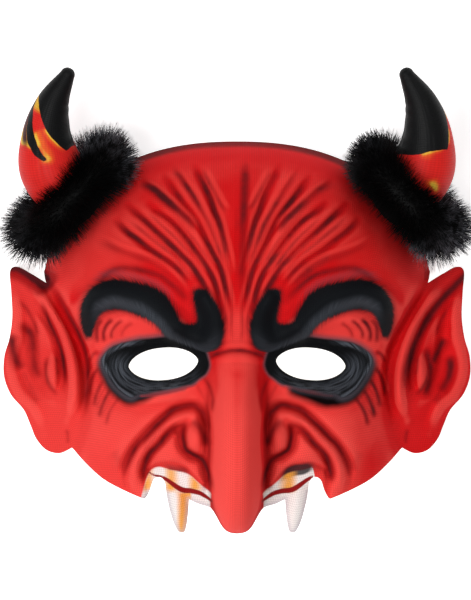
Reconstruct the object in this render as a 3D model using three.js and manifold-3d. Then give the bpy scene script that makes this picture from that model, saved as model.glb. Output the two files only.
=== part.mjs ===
// A devil half mask: one moulded sheet of foam laminated with printed fabric (forehead, brows, hooked nose,
// cheeks, pointed ears, teeth and fangs), two curved padded horns, and a long-haired cuff round each horn's foot.
//
// Millimetres. The mask lies on its open back with the face up: +X to the right of someone looking at it, +Y up
// the face towards the horns, +Z out of the face. The origin is under the middle of the whole mask, on the surface
// that it lies on.
import * as THREE from "three";
import { mergeVertices } from "three/addons/utils/BufferGeometryUtils.js";
import Module from "manifold-3d";

const wasm = await Module();
wasm.setup();

// Driving sizes
const SHEET = 3; // thickness of the laminated foam
const FACE_HALF_WIDTH = 94.6; // at the temples
const FOREHEAD_HEIGHT = 77.6; // from the line between the ear tops to the crown
const DOME_DEPTH = 74; // from the lying surface to the brow
const EYE_LEVEL_NARROWING = 17; // how far each side comes in behind the ear
const JAW_WIDENING = 6;
const DOME_CORNER = 2.3; // superellipse power of the forehead's outline
const DOME_CREST = 2.6; // and of its section
const DOME_SECTION = 2.1;
const WALL_START = 0.985; // where the rounded dome turns into a straight wall
const CROWN_TURN = 1.425; // from the crown round to the notch over the ear, in radians
const LIP_SETBACK = 10; // the mouth lies this much further back than the brow
const EAR_ROOT_HEIGHT = 29;
const EAR_SWEEP = 0.7; // fall of the ear sheet for each millimetre outwards
const FIT_GAP = 0.3; // between pieces that touch

// Down the nose, each pair is the place along Y and the height above the face, or half the width.
const NOSE = {
  profile: [[10, 0], [-6, 2], [-22, 7], [-40, 18], [-55, 29], [-68, 36], [-80, 38.6], [-90, 37.4],
    [-98, 33.4], [-104.6, 26.4], [-109.8, 15.4], [-112.9, 0]],
  halfWidths: [[10, 14], [-12, 15.4], [-28, 16], [-42, 15], [-58, 14.2], [-72, 14.2], [-86, 14], [-97, 12.7],
    [-105, 10], [-110.4, 6.6], [-112.9, 2.6]],
  crest: 2.6,
  rootFoot: 2, // power of the section at the root, where the nose runs softly into the face
  softFrom: -60,
  softOver: 30,
};

const EYE = { x: 35.6, y: -30.6, halfLength: 17, up: 7.6, down: 8, tilt: 0.1 };

// The horn's centre line with its radius at each point, and the ring of hair round its foot.
const HORN = {
  path: [[63, 37, 30], [79, 49.4, 38], [90.6, 64, 43], [94, 79.6, 48], [91.4, 95.2, 53], [83.8, 108.6, 57]],
  radii: [11.5, 17, 15.8, 12.3, 8.1, 3.6],
};
const CUFF = { centre: [81.4, 50.4, 39.5], axis: [0.7, 0.69, 0.2], ringRadius: 24.5, pileRadius: 13.5 };

// Small helpers
const smooth = (t) => {
  const s = Math.min(1, Math.max(0, t));
  return s * s * (3 - 2 * s);
};
const hill = (t) => (Math.abs(t) < 1 ? (1 - t * t) ** 2 : 0);
const softMax = (a, b, blend) => 0.5 * (a + b + Math.hypot(a - b, blend));
// A smooth curve through [place, value] pairs whose places fall, read off at any place between them.
function heightAlong(pairs) {
  const curve = curvePoints(pairs, 120);
  return (at) => {
    if (at >= curve[0].x || at <= curve.at(-1).x) return 0;
    const next = curve.findIndex((p) => p.x <= at);
    const [a, b] = [curve[next - 1], curve[next]];
    return a.y + ((b.y - a.y) * (at - a.x)) / (b.x - a.x);
  };
}
const curvePoints = (points, count) =>
  new THREE.SplineCurve(points.map(([x, y]) => new THREE.Vector2(x, y))).getPoints(count);

// Half of the sheet's edge, from the tip of the ear round the lobe, cheek, corner tooth and fang to the nose.
const EDGE = {
  ear: [[94.4, 8.4], [102.6, 13.2], [109.4, 16.6], [113.2, 14.4], [112.5, 4], [111.9, -8], [113.4, -19],
    [116.1, -28], [116.3, -38], [112.8, -47], [106.3, -54.4], [102.9, -62], [100, -69], [94.8, -74.6],
    [88, -76], [81.6, -73]],
  cheek: [[81.6, -73], [75.4, -78.8], [65.8, -86.6], [56, -91.6], [46, -95.6]],
  cornerTooth: [[46, -95.6], [44.4, -95.8], [42.4, -92.4], [40.6, -87.2], [38.4, -85.4], [36, -86],
    [34.6, -88.6]],
  fang: [[34.6, -88.6], [33.6, -96], [31.4, -105], [28.8, -111], [26.8, -112.2], [25, -111], [23.8, -104],
    [23.2, -96]],
  frontTeeth: [[23.2, -96], [18.6, -98.2], [12.8, -99.8]],
  noseTip: [[12.8, -99.8], [10.4, -103], [6.8, -109.2], [3.8, -111.6], [0, -112.2]],
};

// The moulded folds. Each follows a curve on the right half and is mirrored to the left: half is half its
// width, rise its height, negative for a crease.
const FOLDS = {
  browRidge: { path: [[73, -15], [73.6, -7], [70, 0], [63, 3], [52.4, 2.4], [42.7, -1], [35.5, -7],
    [28, -13.6], [20, -18.5]], half: 9.5, rise: 6.5 },
  browHook: { path: [[19, -19], [13.4, -18], [11.4, -12], [11.8, -5], [15.4, 2], [18, 5]], half: 7, rise: 4 },
  lidFold: { path: [[64, -20], [60, -12], [52, -8.6], [43, -9.6], [34, -14.6]], half: 6, rise: 2.4 },
  eyeBag: { path: [[66, -33], [58, -43], [47, -46.6], [35, -45.4], [22, -40]], half: 6, rise: 3 },
  cheekCrease: { path: [[14.6, -66], [15.4, -57], [19, -51.4], [26, -51.8], [34, -56], [42.7, -64], [50, -72],
    [53.6, -80], [53, -88]], half: 4.5, rise: -3.6 },
  cheekRoll: { path: [[20, -55.6], [27, -56.6], [35, -61.6], [43, -69.6], [48.6, -78], [50, -86], [48, -94]],
    half: 5.5, rise: 3.6 },
  lipCrease: { path: [[24.4, -58], [30.6, -61.6], [36, -67], [41.6, -73.4], [45, -80], [46, -88]],
    half: 4, rise: -3.4 },
  wingCrease: { path: [[24.6, -58.6], [27, -64], [26.4, -70.4], [22, -74.8], [17, -77.4], [14.8, -84],
    [12.6, -95]], half: 4, rise: -3 },
  earGroove: { path: [[93, 6], [86.6, -4], [80, -15], [76, -28], [74.8, -40], [76, -51], [79.6, -60]],
    half: 5, rise: -4 },
  earFrontRidge: { path: [[104, 9], [97, 1.6], [90.6, -7.6], [85.6, -17.6], [81.8, -28], [79.8, -40],
    [80, -50], [83, -59]], half: 5.5, rise: 5.5 },
  earScapha: { path: [[99, -2], [93.4, -10], [89.4, -19], [86.8, -30], [86, -40], [87, -48]],
    half: 4.5, rise: -4 },
  earRim: { path: [[110.8, 8], [109.5, -5], [109.5, -15], [111.9, -26], [112.5, -36], [108.3, -46],
    [100.2, -55], [96, -66]], half: 5.5, rise: 3.4 },
  earConcha: { path: [[104, -8], [102.4, -20], [101.6, -32], [97.4, -41], [89, -48.6]], half: 5, rise: -2.4 },
};

// The rounder forms, on the same half: centre, half sizes, turn in radians, rise.
const MOUNDS = {
  cheek: { at: [55, -60], size: [27, 25], turn: 0.5, rise: 7 },
  eyeSocket: { at: [39, -31], size: [30, 18], turn: -0.1, rise: -9.5 },
  nostrilWing: { at: [19.6, -66], size: [8.6, 11.4], turn: 0.2, rise: 6.5 },
  lipLobe: { at: [33, -73], size: [12, 13], turn: -0.5, rise: 4.5 },
  earBowl: { at: [97, -29], size: [16, 34], turn: 0.12, rise: -3.6 },
  tragus: { at: [91.4, -36], size: [5.4, 13], turn: 0.12, rise: 5 },
  fangBody: { at: [28.6, -101], size: [6.5, 18], turn: -0.12, rise: 4 },
};

// The forehead's creases fan up from the root of the nose.
const CREASES = {
  overBrow: [[58, 38], [46.8, 28.4], [37, 21.2], [29, 15.4]],
  outer: [[52.5, 45.8], [41.5, 35.7], [32.3, 27], [24, 18.6]],
  middle: [[42, 45.8], [32.3, 38.5], [23.6, 28.9], [17.4, 20]],
  inner: [[34.7, 58.8], [26.5, 48.2], [19.3, 38.5], [14, 27.5], [9, 17]],
  upright: [[20.2, 64.1], [13, 49.6], [8.7, 37.6]],
};
const CREASE_HALF = 3.6;
const CREASE_RISE = -1.5;
const folds = Object.values(FOLDS);
const creases = Object.values(CREASES).map((path) => ({ path, half: CREASE_HALF, rise: CREASE_RISE }));
const foldSegments = [...folds, ...creases].map(({ path, half, rise }) => {
  const points = curvePoints(path, 24);
  return { points, half, rise };
});

// A fold's height at a point: a rounded ridge across its curve that fades out at both ends.
function foldHeight({ points, half, rise }, x, y) {
  let nearest = half;
  let along = 0;
  for (let i = 1; i < points.length; i++) {
    const a = points[i - 1];
    const run = { x: points[i].x - a.x, y: points[i].y - a.y };
    const share = ((x - a.x) * run.x + (y - a.y) * run.y) / (run.x ** 2 + run.y ** 2);
    const t = Math.min(1, Math.max(0, share));
    const distance = Math.hypot(x - a.x - t * run.x, y - a.y - t * run.y);
    if (distance < nearest) {
      nearest = distance;
      along = (i - 1 + t) / (points.length - 1);
    }
  }
  const fade = smooth(along / 0.16) * smooth((1 - along) / 0.16);
  return rise * hill(nearest / half) * (0.25 + 0.75 * fade);
}

function moundHeight({ at, size, turn, rise }, x, y) {
  const across = ((x - at[0]) * Math.cos(turn) + (y - at[1]) * Math.sin(turn)) / size[0];
  const along = ((y - at[1]) * Math.cos(turn) - (x - at[0]) * Math.sin(turn)) / size[1];
  return rise * hill(Math.min(1, Math.hypot(across, along)));
}

const faceHalfWidth = (y) =>
  FACE_HALF_WIDTH - EYE_LEVEL_NARROWING * smooth((12 - y) / 50) + JAW_WIDENING * smooth((-45 - y) / 35);

// The plain dome of the face: a superellipse in outline and in section, with a steep wall at its foot.
function domeHeight(x, y) {
  const side = Math.abs(x) / faceHalfWidth(y);
  const up = Math.max(y, 0) / FOREHEAD_HEIGHT;
  const reach = (side ** DOME_CORNER + up ** DOME_CORNER) ** (1 / DOME_CORNER);
  const section = (r) => DOME_DEPTH * (1 - r ** DOME_CREST) ** (1 / DOME_SECTION);
  const setback = LIP_SETBACK * (Math.min(y, 0) / 100) ** 2;
  if (reach < WALL_START) return section(reach) - setback;
  const wallSlope = (section(WALL_START - 0.01) - section(WALL_START)) / 0.01;
  return section(WALL_START) - setback - wallSlope * (reach - WALL_START);
}

// The ear sheet sweeps back from the face; above the ear's upper edge it falls away, clear of the temple.
function earHeight(x, y) {
  const upperEdge = 11 + 0.43 * (x - 96);
  const droop = 0.35 * Math.max(0, -50 - y);
  return EAR_ROOT_HEIGHT - EAR_SWEEP * Math.max(0, x - 78) - droop - 3 * Math.max(0, y - upperEdge);
}

// The hooked nose: a ridge with its own profile and width all the way down to the tip.
const noseRidge = heightAlong(NOSE.profile);
const noseHalfWidth = heightAlong(NOSE.halfWidths);
function noseHeight(x, y) {
  const u = Math.abs(x) / Math.max(noseHalfWidth(y), 0.5);
  const foot = 1 + (NOSE.rootFoot - 1) * smooth((y - NOSE.softFrom) / NOSE.softOver);
  return u < 1 ? noseRidge(y) * (1 - u ** NOSE.crest) ** foot : 0;
}

// The teeth are set back behind the arched upper lip.
const LIP_ARCH = [[46, -84], [42, -79], [37, -76.6], [31, -76], [25.4, -78], [21, -82], [16, -87.6]];
const lipArch = curvePoints(LIP_ARCH, 20);
function mouthStep(x, y) {
  if (x < 12 || x > 46) return 0;
  const after = lipArch.findIndex((p) => p.x <= x);
  if (after < 1) return 0;
  const [a, b] = [lipArch[after - 1], lipArch[after]];
  const edge = a.y + ((b.y - a.y) * (x - a.x)) / (b.x - a.x);
  return -3.5 * smooth((edge - y) / 3) * smooth((x - 12) / 3) * smooth((46 - x) / 3);
}

function frontHeight(signedX, y) {
  const x = Math.abs(signedX);
  const base = softMax(domeHeight(x, y), earHeight(x, y), 4);
  let height = base + noseHeight(x, y) + mouthStep(x, y);
  for (const fold of foldSegments) height += foldHeight(fold, x, y);
  for (const mound of Object.values(MOUNDS)) height += moundHeight(mound, x, y);
  return height;
}

// The back of the sheet, as a ball of the sheet's thickness rolled along the front would leave it.
function backHeight(x, y) {
  let lowest = frontHeight(x, y) - SHEET;
  for (const share of [0.5, 0.8, 0.97]) {
    const drop = SHEET * Math.sqrt(1 - share ** 2);
    for (let k = 0; k < 8; k++) {
      const turn = (k / 8) * 2 * Math.PI;
      const [dx, dy] = [SHEET * share * Math.cos(turn), SHEET * share * Math.sin(turn)];
      lowest = Math.min(lowest, frontHeight(x + dx, y + dy) - drop);
    }
  }
  return lowest;
}

// The front raised by the fitting gap, measured square to the surface.
function clearHeight(x, y) {
  const step = 1;
  const dx = (frontHeight(x + step, y) - frontHeight(x - step, y)) / (2 * step);
  const dy = (frontHeight(x, y + step) - frontHeight(x, y - step)) / (2 * step);
  return frontHeight(x, y) + FIT_GAP * Math.min(6, Math.hypot(1, dx, dy));
}

// Outlines and rows of points that the sheet's triangles are drawn between, for the right half
const EDGE_SAMPLES = { ear: 36, cheek: 11, cornerTooth: 10, fang: 13, frontTeeth: 3, noseTip: 7 };

// Past the crown and temples the outline stands clear of the wall, which is then cut level.
function crownRow(reach, count) {
  return Array.from({ length: count + 1 }, (_, i) => {
    const turn = Math.PI / 2 - (i / count) * CROWN_TURN;
    const [c, s] = [Math.cos(turn), Math.sin(turn)];
    const square = (c / FACE_HALF_WIDTH) ** DOME_CORNER + (s / FOREHEAD_HEIGHT) ** DOME_CORNER;
    const radius = reach / square ** (1 / DOME_CORNER);
    return new THREE.Vector2(i === 0 ? 0 : radius * c, radius * s);
  });
}

function halfOutline() {
  const outline = crownRow(1.024, 34);
  for (const [name, points] of Object.entries(EDGE)) {
    const stretch = curvePoints(points, EDGE_SAMPLES[name]);
    outline.push(...(name === "ear" ? stretch : stretch.slice(1)));
  }
  outline.at(-1).x = 0;
  return outline;
}

function eyeOutline() {
  const count = 28;
  return Array.from({ length: count }, (_, i) => {
    const turn = (i / count) * 2 * Math.PI;
    const [c, s] = [Math.cos(turn), Math.sin(turn)];
    const along = EYE.halfLength * Math.sign(c) * Math.abs(c) ** 0.9;
    const across = (s > 0 ? EYE.up : EYE.down) * s * Math.abs(s) ** 0.25;
    const x = EYE.x + along * Math.cos(EYE.tilt) + across * Math.sin(EYE.tilt);
    const y = EYE.y - along * Math.sin(EYE.tilt) + across * Math.cos(EYE.tilt);
    return new THREE.Vector2(x, y);
  });
}

function isInside(outline, x, y) {
  let inside = false;
  for (let i = 0, j = outline.length - 1; i < outline.length; j = i++) {
    const [a, b] = [outline[i], outline[j]];
    if (a.y > y !== b.y > y && x < a.x + ((b.x - a.x) * (y - a.y)) / (b.y - a.y)) inside = !inside;
  }
  return inside;
}

// Rows along each fold, at shares of its half width to either side of its crest.
function foldRows(list, spacing, shares) {
  return list.flatMap(({ path, half }) => {
    const curve = new THREE.SplineCurve(path.map(([x, y]) => new THREE.Vector2(x, y)));
    const count = Math.round(curve.getLength() / spacing);
    return shares.map((share) => Array.from({ length: count + 1 }, (_, i) => {
      const along = curve.getTangentAt(i / count);
      const outward = new THREE.Vector2(-along.y, along.x);
      return curve.getPointAt(i / count).addScaledVector(outward, share * half);
    }));
  });
}

// Rows down the sides of the nose at shares of its half width, less an inset.
function noseRows(shares, inset, spacing) {
  const bottom = NOSE.profile.at(-1)[0] + 2 + inset;
  return shares.map((share) =>
    gridLines(bottom, 2, () => spacing).map((y) => new THREE.Vector2(share * (noseHalfWidth(y) - inset), y)));
}

// Lines from low to high, closest together where spacing(at) is small.
function gridLines(low, high, spacing) {
  const lines = [low];
  while (lines.at(-1) < high) lines.push(lines.at(-1) + spacing(lines.at(-1)));
  const stretch = (high - low) / (lines.at(-1) - low);
  return lines.map((at) => low + (at - low) * stretch);
}

// The points of one face of the sheet: its edges, then the rows, then a staggered fill between them.
function sheetPoints({ rows, axisSpacing, fill, clearance }) {
  const outline = halfOutline();
  const eye = eyeOutline();
  const points = [...outline, ...eye];
  const outerEdges = outline.map((p, i) => [p, outline[i + 1] ?? p]);
  const edges = [...outerEdges, ...eye.map((p, i) => [p, eye[i + 1] ?? eye[0]])];
  // a point inside the circle over an edge would cut that edge off
  const cutsEdge = (x, y) =>
    edges.some(([a, b]) => (x - a.x) * (x - b.x) + (y - a.y) * (y - b.y) < 0.5);
  const open = (x, y, apart) => !cutsEdge(x, y) && points.every((p) => Math.hypot(p.x - x, p.y - y) > apart);
  const axis = gridLines(outline.at(-1).y, outline[0].y, axisSpacing).slice(1, -1);
  points.push(...axis.map((y) => new THREE.Vector2(0, y)));
  const tryPoint = (x, y, apart) => {
    if (x < 1.6 || !isInside(outline, x, y) || isInside(eye, x, y)) return;
    if (open(x, y, apart)) points.push(new THREE.Vector2(x, y));
  };
  for (const row of rows) for (const p of row) tryPoint(p.x, p.y, clearance);
  let shift = 0;
  for (const y of gridLines(-112, 84, fill)) {
    const step = fill(y) * 1.15;
    shift = step / 2 - shift;
    for (let x = shift; x < 120; x += step) tryPoint(x, y, 0.66 * step);
  }
  return { points, outline, eye };
}

// Triangles between points so that no point lies inside the circle round another triangle.
function triangulate(points) {
  const far = 1e5;
  const all = [...points, { x: -far, y: -far }, { x: far, y: -far }, { x: 0, y: far }];
  const circled = (a, b, c) => {
    const [p, q, r] = [all[a], all[b], all[c]];
    const [bx, by, cx, cy] = [q.x - p.x, q.y - p.y, r.x - p.x, r.y - p.y];
    const twice = 2 * (bx * cy - by * cx);
    const x = (cy * (bx * bx + by * by) - by * (cx * cx + cy * cy)) / twice;
    const y = (bx * (cx * cx + cy * cy) - cx * (bx * bx + by * by)) / twice;
    return { corners: [a, b, c], x: p.x + x, y: p.y + y, reach: x * x + y * y };
  };
  let triangles = [circled(points.length, points.length + 1, points.length + 2)];
  points.forEach((p, i) => {
    const rim = new Map();
    triangles = triangles.filter(({ corners, x, y, reach }) => {
      if ((p.x - x) ** 2 + (p.y - y) ** 2 >= reach) return true;
      corners.forEach((a, k) => {
        const b = corners[(k + 1) % 3];
        if (!rim.delete(`${b},${a}`)) rim.set(`${a},${b}`, [a, b]);
      });
      return false;
    });
    for (const [a, b] of rim.values()) triangles.push(circled(a, b, i));
  });
  return triangles.map(({ corners }) => corners).filter((corners) => Math.max(...corners) < points.length);
}

// The triangles of one face of the right half, counterclockwise from the front.
function sheetTriangles({ points, outline, eye }) {
  return triangulate(points).filter((corners) => {
    const x = corners.reduce((sum, i) => sum + points[i].x, 0) / 3;
    const y = corners.reduce((sum, i) => sum + points[i].y, 0) / 3;
    return isInside(outline, x, y) && !isInside(eye, x, y);
  });
}

// Solids
function solidFrom(geometry) {
  const bare = new THREE.BufferGeometry();
  const source = geometry.index ? geometry.toNonIndexed() : geometry;
  bare.setAttribute("position", source.getAttribute("position").clone());
  const merged = mergeVertices(bare, 1e-4);
  return new wasm.Manifold(
    new wasm.Mesh({
      numProp: 3,
      vertProperties: new Float32Array(merged.attributes.position.array),
      triVerts: new Uint32Array(merged.index.array),
    }),
  );
}

function geometryFrom(solid) {
  const mesh = solid.getMesh();
  const positions = new Float32Array(mesh.numVert * 3);
  for (let i = 0; i < mesh.numVert; i++) {
    for (let k = 0; k < 3; k++) positions[3 * i + k] = mesh.vertProperties[i * mesh.numProp + k];
  }
  const geometry = new THREE.BufferGeometry();
  geometry.setAttribute("position", new THREE.BufferAttribute(positions, 3));
  geometry.setIndex(new THREE.BufferAttribute(new Uint32Array(mesh.triVerts), 1));
  geometry.computeVertexNormals();
  return geometry;
}

// A closed skin between two faces of the sheet, both halves of it. Both faces have the same edge points.
function sheetSolid(front, back, frontAt, backAt) {
  const positions = [];
  const addTriangle = (...corners) => {
    for (const [x, y, z] of corners) positions.push(x, y, z);
    for (const [x, y, z] of corners.toReversed()) positions.push(-x, y, z);
  };
  const raised = (face, heightAt) => face.points.map((p) => [p.x, p.y, heightAt(p.x, p.y)]);
  const [top, under] = [raised(front, frontAt), raised(back, backAt)];
  const frontTriangles = sheetTriangles(front);
  for (const [a, b, c] of frontTriangles) addTriangle(top[a], top[b], top[c]);
  for (const [a, b, c] of sheetTriangles(back)) addTriangle(under[a], under[c], under[b]);
  const edges = new Map();
  for (const corners of frontTriangles) {
    corners.forEach((a, k) => {
      const b = corners[(k + 1) % 3];
      if (!edges.delete(`${b},${a}`)) edges.set(`${a},${b}`, [a, b]);
    });
  }
  for (const [a, b] of edges.values()) {
    if (top[a][0] === 0 && top[b][0] === 0) continue;
    addTriangle(top[a], under[a], under[b]);
    addTriangle(top[a], under[b], top[b]);
  }
  const geometry = new THREE.BufferGeometry();
  geometry.setAttribute("position", new THREE.Float32BufferAttribute(positions, 3));
  return solidFrom(geometry);
}

const crownRows = (reaches, count) => reaches.map((reach) => crownRow(reach, count).slice(1));
const frontFace = sheetPoints({
  rows: [
    ...crownRows([1.0, 0.975, 0.93, 0.86], 30),
    ...noseRows([1, 0.88, 0.68, 0.36], 0, 4),
    ...foldRows(folds, 3.8, [0, 0.5, -0.5, 0.95, -0.95]),
    ...foldRows(creases, 4.4, [0]),
    ...foldRows(creases, 4.4, [0.9, -0.9]),
  ],
  axisSpacing: (y) => (y < -90 ? 3 : 5),
  fill: (y) => (y > 12 ? 7 : 4.6),
  clearance: 1.9,
});
const backFace = sheetPoints({
  rows: [
    ...crownRows([0.97, 0.92], 20),
    ...noseRows([1], 0, 5),
    ...noseRows([1, 0.7], SHEET, 5),
    ...foldRows(folds, 6, [0]),
  ],
  axisSpacing: (y) => (y < -90 ? 3 : 7),
  fill: (y) => (y > 12 ? 10 : 8),
  clearance: 2.6,
});

function faceSolid() {
  const aboveFloor = new THREE.BoxGeometry(400, 400, 300).translate(0, 0, 150);
  return sheetSolid(frontFace, backFace, frontHeight, backHeight).intersect(solidFrom(aboveFloor));
}

// Everything under the front of the sheet, with the fitting gap: what stands on the sheet is cut to it.
const clearTop = (x, y) => Math.max(-59, clearHeight(x, y));
const underSheet = () => sheetSolid(frontFace, frontFace, clearTop, () => -60);

// Rings of points joined into a closed skin, with a fan at each end.
function loft(rings) {
  const sides = rings[0].length;
  const positions = rings.flat().flatMap((p) => p.toArray());
  const centres = [rings[0], rings.at(-1)].map((ring) =>
    ring.reduce((sum, p) => sum.add(p), new THREE.Vector3()).divideScalar(sides));
  for (const centre of centres) positions.push(...centre.toArray());
  const index = [];
  const [foot, tip] = [rings.length * sides, rings.length * sides + 1];
  for (let s = 0; s < sides; s++) {
    const next = (s + 1) % sides;
    index.push(foot, next, s);
    for (let r = 0; r < rings.length - 1; r++) {
      const [a, b] = [r * sides, (r + 1) * sides];
      index.push(a + s, a + next, b + next, a + s, b + next, b + s);
    }
    const last = (rings.length - 1) * sides;
    index.push(tip, last + s, last + next);
  }
  const geometry = new THREE.BufferGeometry();
  geometry.setAttribute("position", new THREE.Float32BufferAttribute(positions, 3));
  geometry.setIndex(index);
  return geometry;
}

const hornCurve = new THREE.CatmullRomCurve3(HORN.path.map((p) => new THREE.Vector3(...p)));
const hornWidths = new THREE.SplineCurve(HORN.radii.map((radius, i) => new THREE.Vector2(i, radius)));

// The horn: circles along its bent centre line, closed by a round tip. Grown is added to every radius.
function hornGeometry(grown) {
  const sides = 16;
  const steps = 12;
  const rings = [];
  const addRing = (centre, along, radius) => {
    const turn = new THREE.Quaternion().setFromUnitVectors(new THREE.Vector3(0, 0, 1), along);
    rings.push(Array.from({ length: sides }, (_, s) => {
      const angle = (s / sides) * 2 * Math.PI;
      return new THREE.Vector3(Math.cos(angle) * radius, Math.sin(angle) * radius, 0)
        .applyQuaternion(turn)
        .add(centre);
    }));
  };
  for (let i = 0; i <= steps; i++) {
    const t = i / steps;
    addRing(hornCurve.getPoint(t), hornCurve.getTangent(t), hornWidths.getPoint(t).y + grown);
  }
  const tipRadius = HORN.radii.at(-1) + grown;
  const along = hornCurve.getTangent(1);
  for (const lift of [0.4, 0.75, 0.95]) {
    const centre = hornCurve.getPoint(1).addScaledVector(along, lift * tipRadius);
    addRing(centre, along, tipRadius * Math.sqrt(1 - lift ** 2));
  }
  return loft(rings);
}

// The cuff: the space that the long-haired trim fills, a fat ring round the foot of the horn.
function cuffGeometry() {
  const ring = new THREE.TorusGeometry(CUFF.ringRadius, CUFF.pileRadius, 10, 24);
  const along = new THREE.Vector3(...CUFF.axis).normalize();
  ring.applyQuaternion(new THREE.Quaternion().setFromUnitVectors(new THREE.Vector3(0, 0, 1), along));
  return ring.translate(...CUFF.centre);
}

function mirrored(geometry) {
  const flipped = geometry.clone().scale(-1, 1, 1);
  const index = flipped.index.array;
  for (let i = 0; i < index.length; i += 3) [index[i + 1], index[i + 2]] = [index[i + 2], index[i + 1]];
  flipped.computeVertexNormals();
  return flipped;
}

// The parts and their finishes
const printedFabric = new THREE.MeshStandardMaterial({ color: 0xd3252a, roughness: 0.72, metalness: 0 });
const hornFabric = new THREE.MeshStandardMaterial({ color: 0x1c1b1d, roughness: 0.55, metalness: 0 });
const longHair = new THREE.MeshStandardMaterial({ color: 0x0c0c0d, roughness: 0.85, metalness: 0 });

const mask = new THREE.Group();

function addPiece(name, geometry, material) {
  const mesh = new THREE.Mesh(geometry, material);
  mesh.name = name;
  mask.add(mesh);
}

const sheetBelow = underSheet();
const hornPiece = geometryFrom(solidFrom(hornGeometry(0)).subtract(sheetBelow));
const cuffPiece = geometryFrom(
  solidFrom(cuffGeometry()).subtract(sheetBelow).subtract(solidFrom(hornGeometry(FIT_GAP))),
);

addPiece("face_sheet", geometryFrom(faceSolid()), printedFabric);
addPiece("horn_right", hornPiece, hornFabric);
addPiece("horn_left", mirrored(hornPiece), hornFabric);
addPiece("fur_cuff_right", cuffPiece, longHair);
addPiece("fur_cuff_left", mirrored(cuffPiece), longHair);

// the origin goes under the middle of the whole mask
const extent = new THREE.Box3().setFromObject(mask);
mask.position.y = -(extent.min.y + extent.max.y) / 2;

export default mask;
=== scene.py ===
# %% [markdown]
# # A devil half mask in printed fabric
# The real mask starts out flat. A sheet of soft foam gets a printed knit glued to its front and a plain
# lining to its back. A hot press then forms it into a face, so brows, nose, ears and teeth are one sheet
# and the creases are both moulded and printed. Two stuffed horns are sewn on, each with a strip of
# long-haired fabric round its foot.
#
# This lesson rebuilds each piece the way it is made: a form worked out as heights over a flat lattice, a
# print laid over it by a material, two lofted horns, and hair that Geometry Nodes plants.

import bpy
import numpy as np
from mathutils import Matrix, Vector


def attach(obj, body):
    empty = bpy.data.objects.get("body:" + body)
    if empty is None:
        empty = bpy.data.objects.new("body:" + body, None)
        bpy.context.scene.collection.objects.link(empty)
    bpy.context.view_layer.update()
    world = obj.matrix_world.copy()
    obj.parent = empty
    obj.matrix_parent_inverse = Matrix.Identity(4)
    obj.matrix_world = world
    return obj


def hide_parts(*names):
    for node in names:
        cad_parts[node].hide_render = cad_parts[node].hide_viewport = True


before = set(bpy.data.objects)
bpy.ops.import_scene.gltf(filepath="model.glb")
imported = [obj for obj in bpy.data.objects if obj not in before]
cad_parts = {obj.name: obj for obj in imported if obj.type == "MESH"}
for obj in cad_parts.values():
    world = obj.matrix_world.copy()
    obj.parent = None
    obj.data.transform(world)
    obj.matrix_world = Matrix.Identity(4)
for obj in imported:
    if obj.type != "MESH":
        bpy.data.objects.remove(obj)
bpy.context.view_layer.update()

BODY = "root"

# %% [markdown]
# ## Camera
# The picture looks straight down on the mask as it lies on its back. A long lens from far away keeps the
# ears, which are near the floor, almost as large as the brow, as a product photographer would.

# %% The camera
MM = 0.001
camera_data = bpy.data.cameras.new("camera")
camera_data.lens = 200
camera_data.sensor_width = 36
camera = bpy.data.objects.new("camera", camera_data)
camera.location = (-0.75 * MM, 0, 1.6667)  # m
bpy.context.scene.collection.objects.link(camera)
bpy.context.scene.camera = camera
bpy.context.scene.view_settings.view_transform = "Standard"

# %% [markdown]
# ## Helpers for curves and soft steps
# Everything in the face is worked out in millimetres on its right half and mirrored. A fold is a smooth
# curve with a width and a height, so the two helpers that matter are one that draws a smooth curve through
# a few points, and one that says how far each vertex is from that curve.

# %% Soft steps and curves
def smooth(t):
    """0 below 0, 1 above 1 and an S between them."""
    t = np.clip(t, 0, 1)
    return t * t * (3 - 2 * t)


def hill(t):
    """A rounded hill of height 1 over -1 to 1."""
    return np.where(np.abs(t) < 1, (1 - np.minimum(t * t, 1)) ** 2, 0)


def bend(here, there, leave, arrive, t):
    """The cubic from here to there that sets out along leave and comes in along arrive."""
    cubed, squared = 2 * here - 2 * there + leave + arrive, 3 * (there - here) - 2 * leave - arrive
    return ((cubed * t + squared) * t + leave) * t + here


def curve(points, count):
    """count + 1 points along a smooth curve through the given points, in any number of dimensions."""
    p = np.asarray(points, float)
    last = len(p) - 1
    at = np.linspace(0, last, count + 1)
    i = np.minimum(at.astype(int), last - 1)
    t = (at - i)[:, None]
    before, here, there, after = p[np.maximum(i - 1, 0)], p[i], p[i + 1], p[np.minimum(i + 2, last)]
    leave, arrive = (there - before) / 2, (after - here) / 2
    return bend(here, there, leave, arrive, t)


# %% Distances to curves and outlines
def to_line(x, y, line):
    """For each point: distance to a line of straight pieces, place along it from 0 to 1, side (+1 left) and
    the nearest point."""
    a, run = line[:-1], np.diff(line, axis=0)
    away = np.stack([x, y], 1)[:, None] - a
    t = np.clip((away * run).sum(2) / np.maximum((run * run).sum(1), 1e-12), 0, 1)
    gap = away - t[..., None] * run
    distance = np.hypot(gap[..., 0], gap[..., 1])
    best = distance.argmin(1)
    row = np.arange(len(x))
    side = np.sign(run[best, 0] * gap[row, best, 1] - run[best, 1] * gap[row, best, 0])
    length = np.hypot(*run.T)
    start = np.concatenate([[0], length.cumsum()])
    along = (start[best] + t[row, best] * length[best]) / start[-1]
    nearest = a[best] + t[row, best][:, None] * run[best]
    return distance[row, best], along, side, nearest


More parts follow.
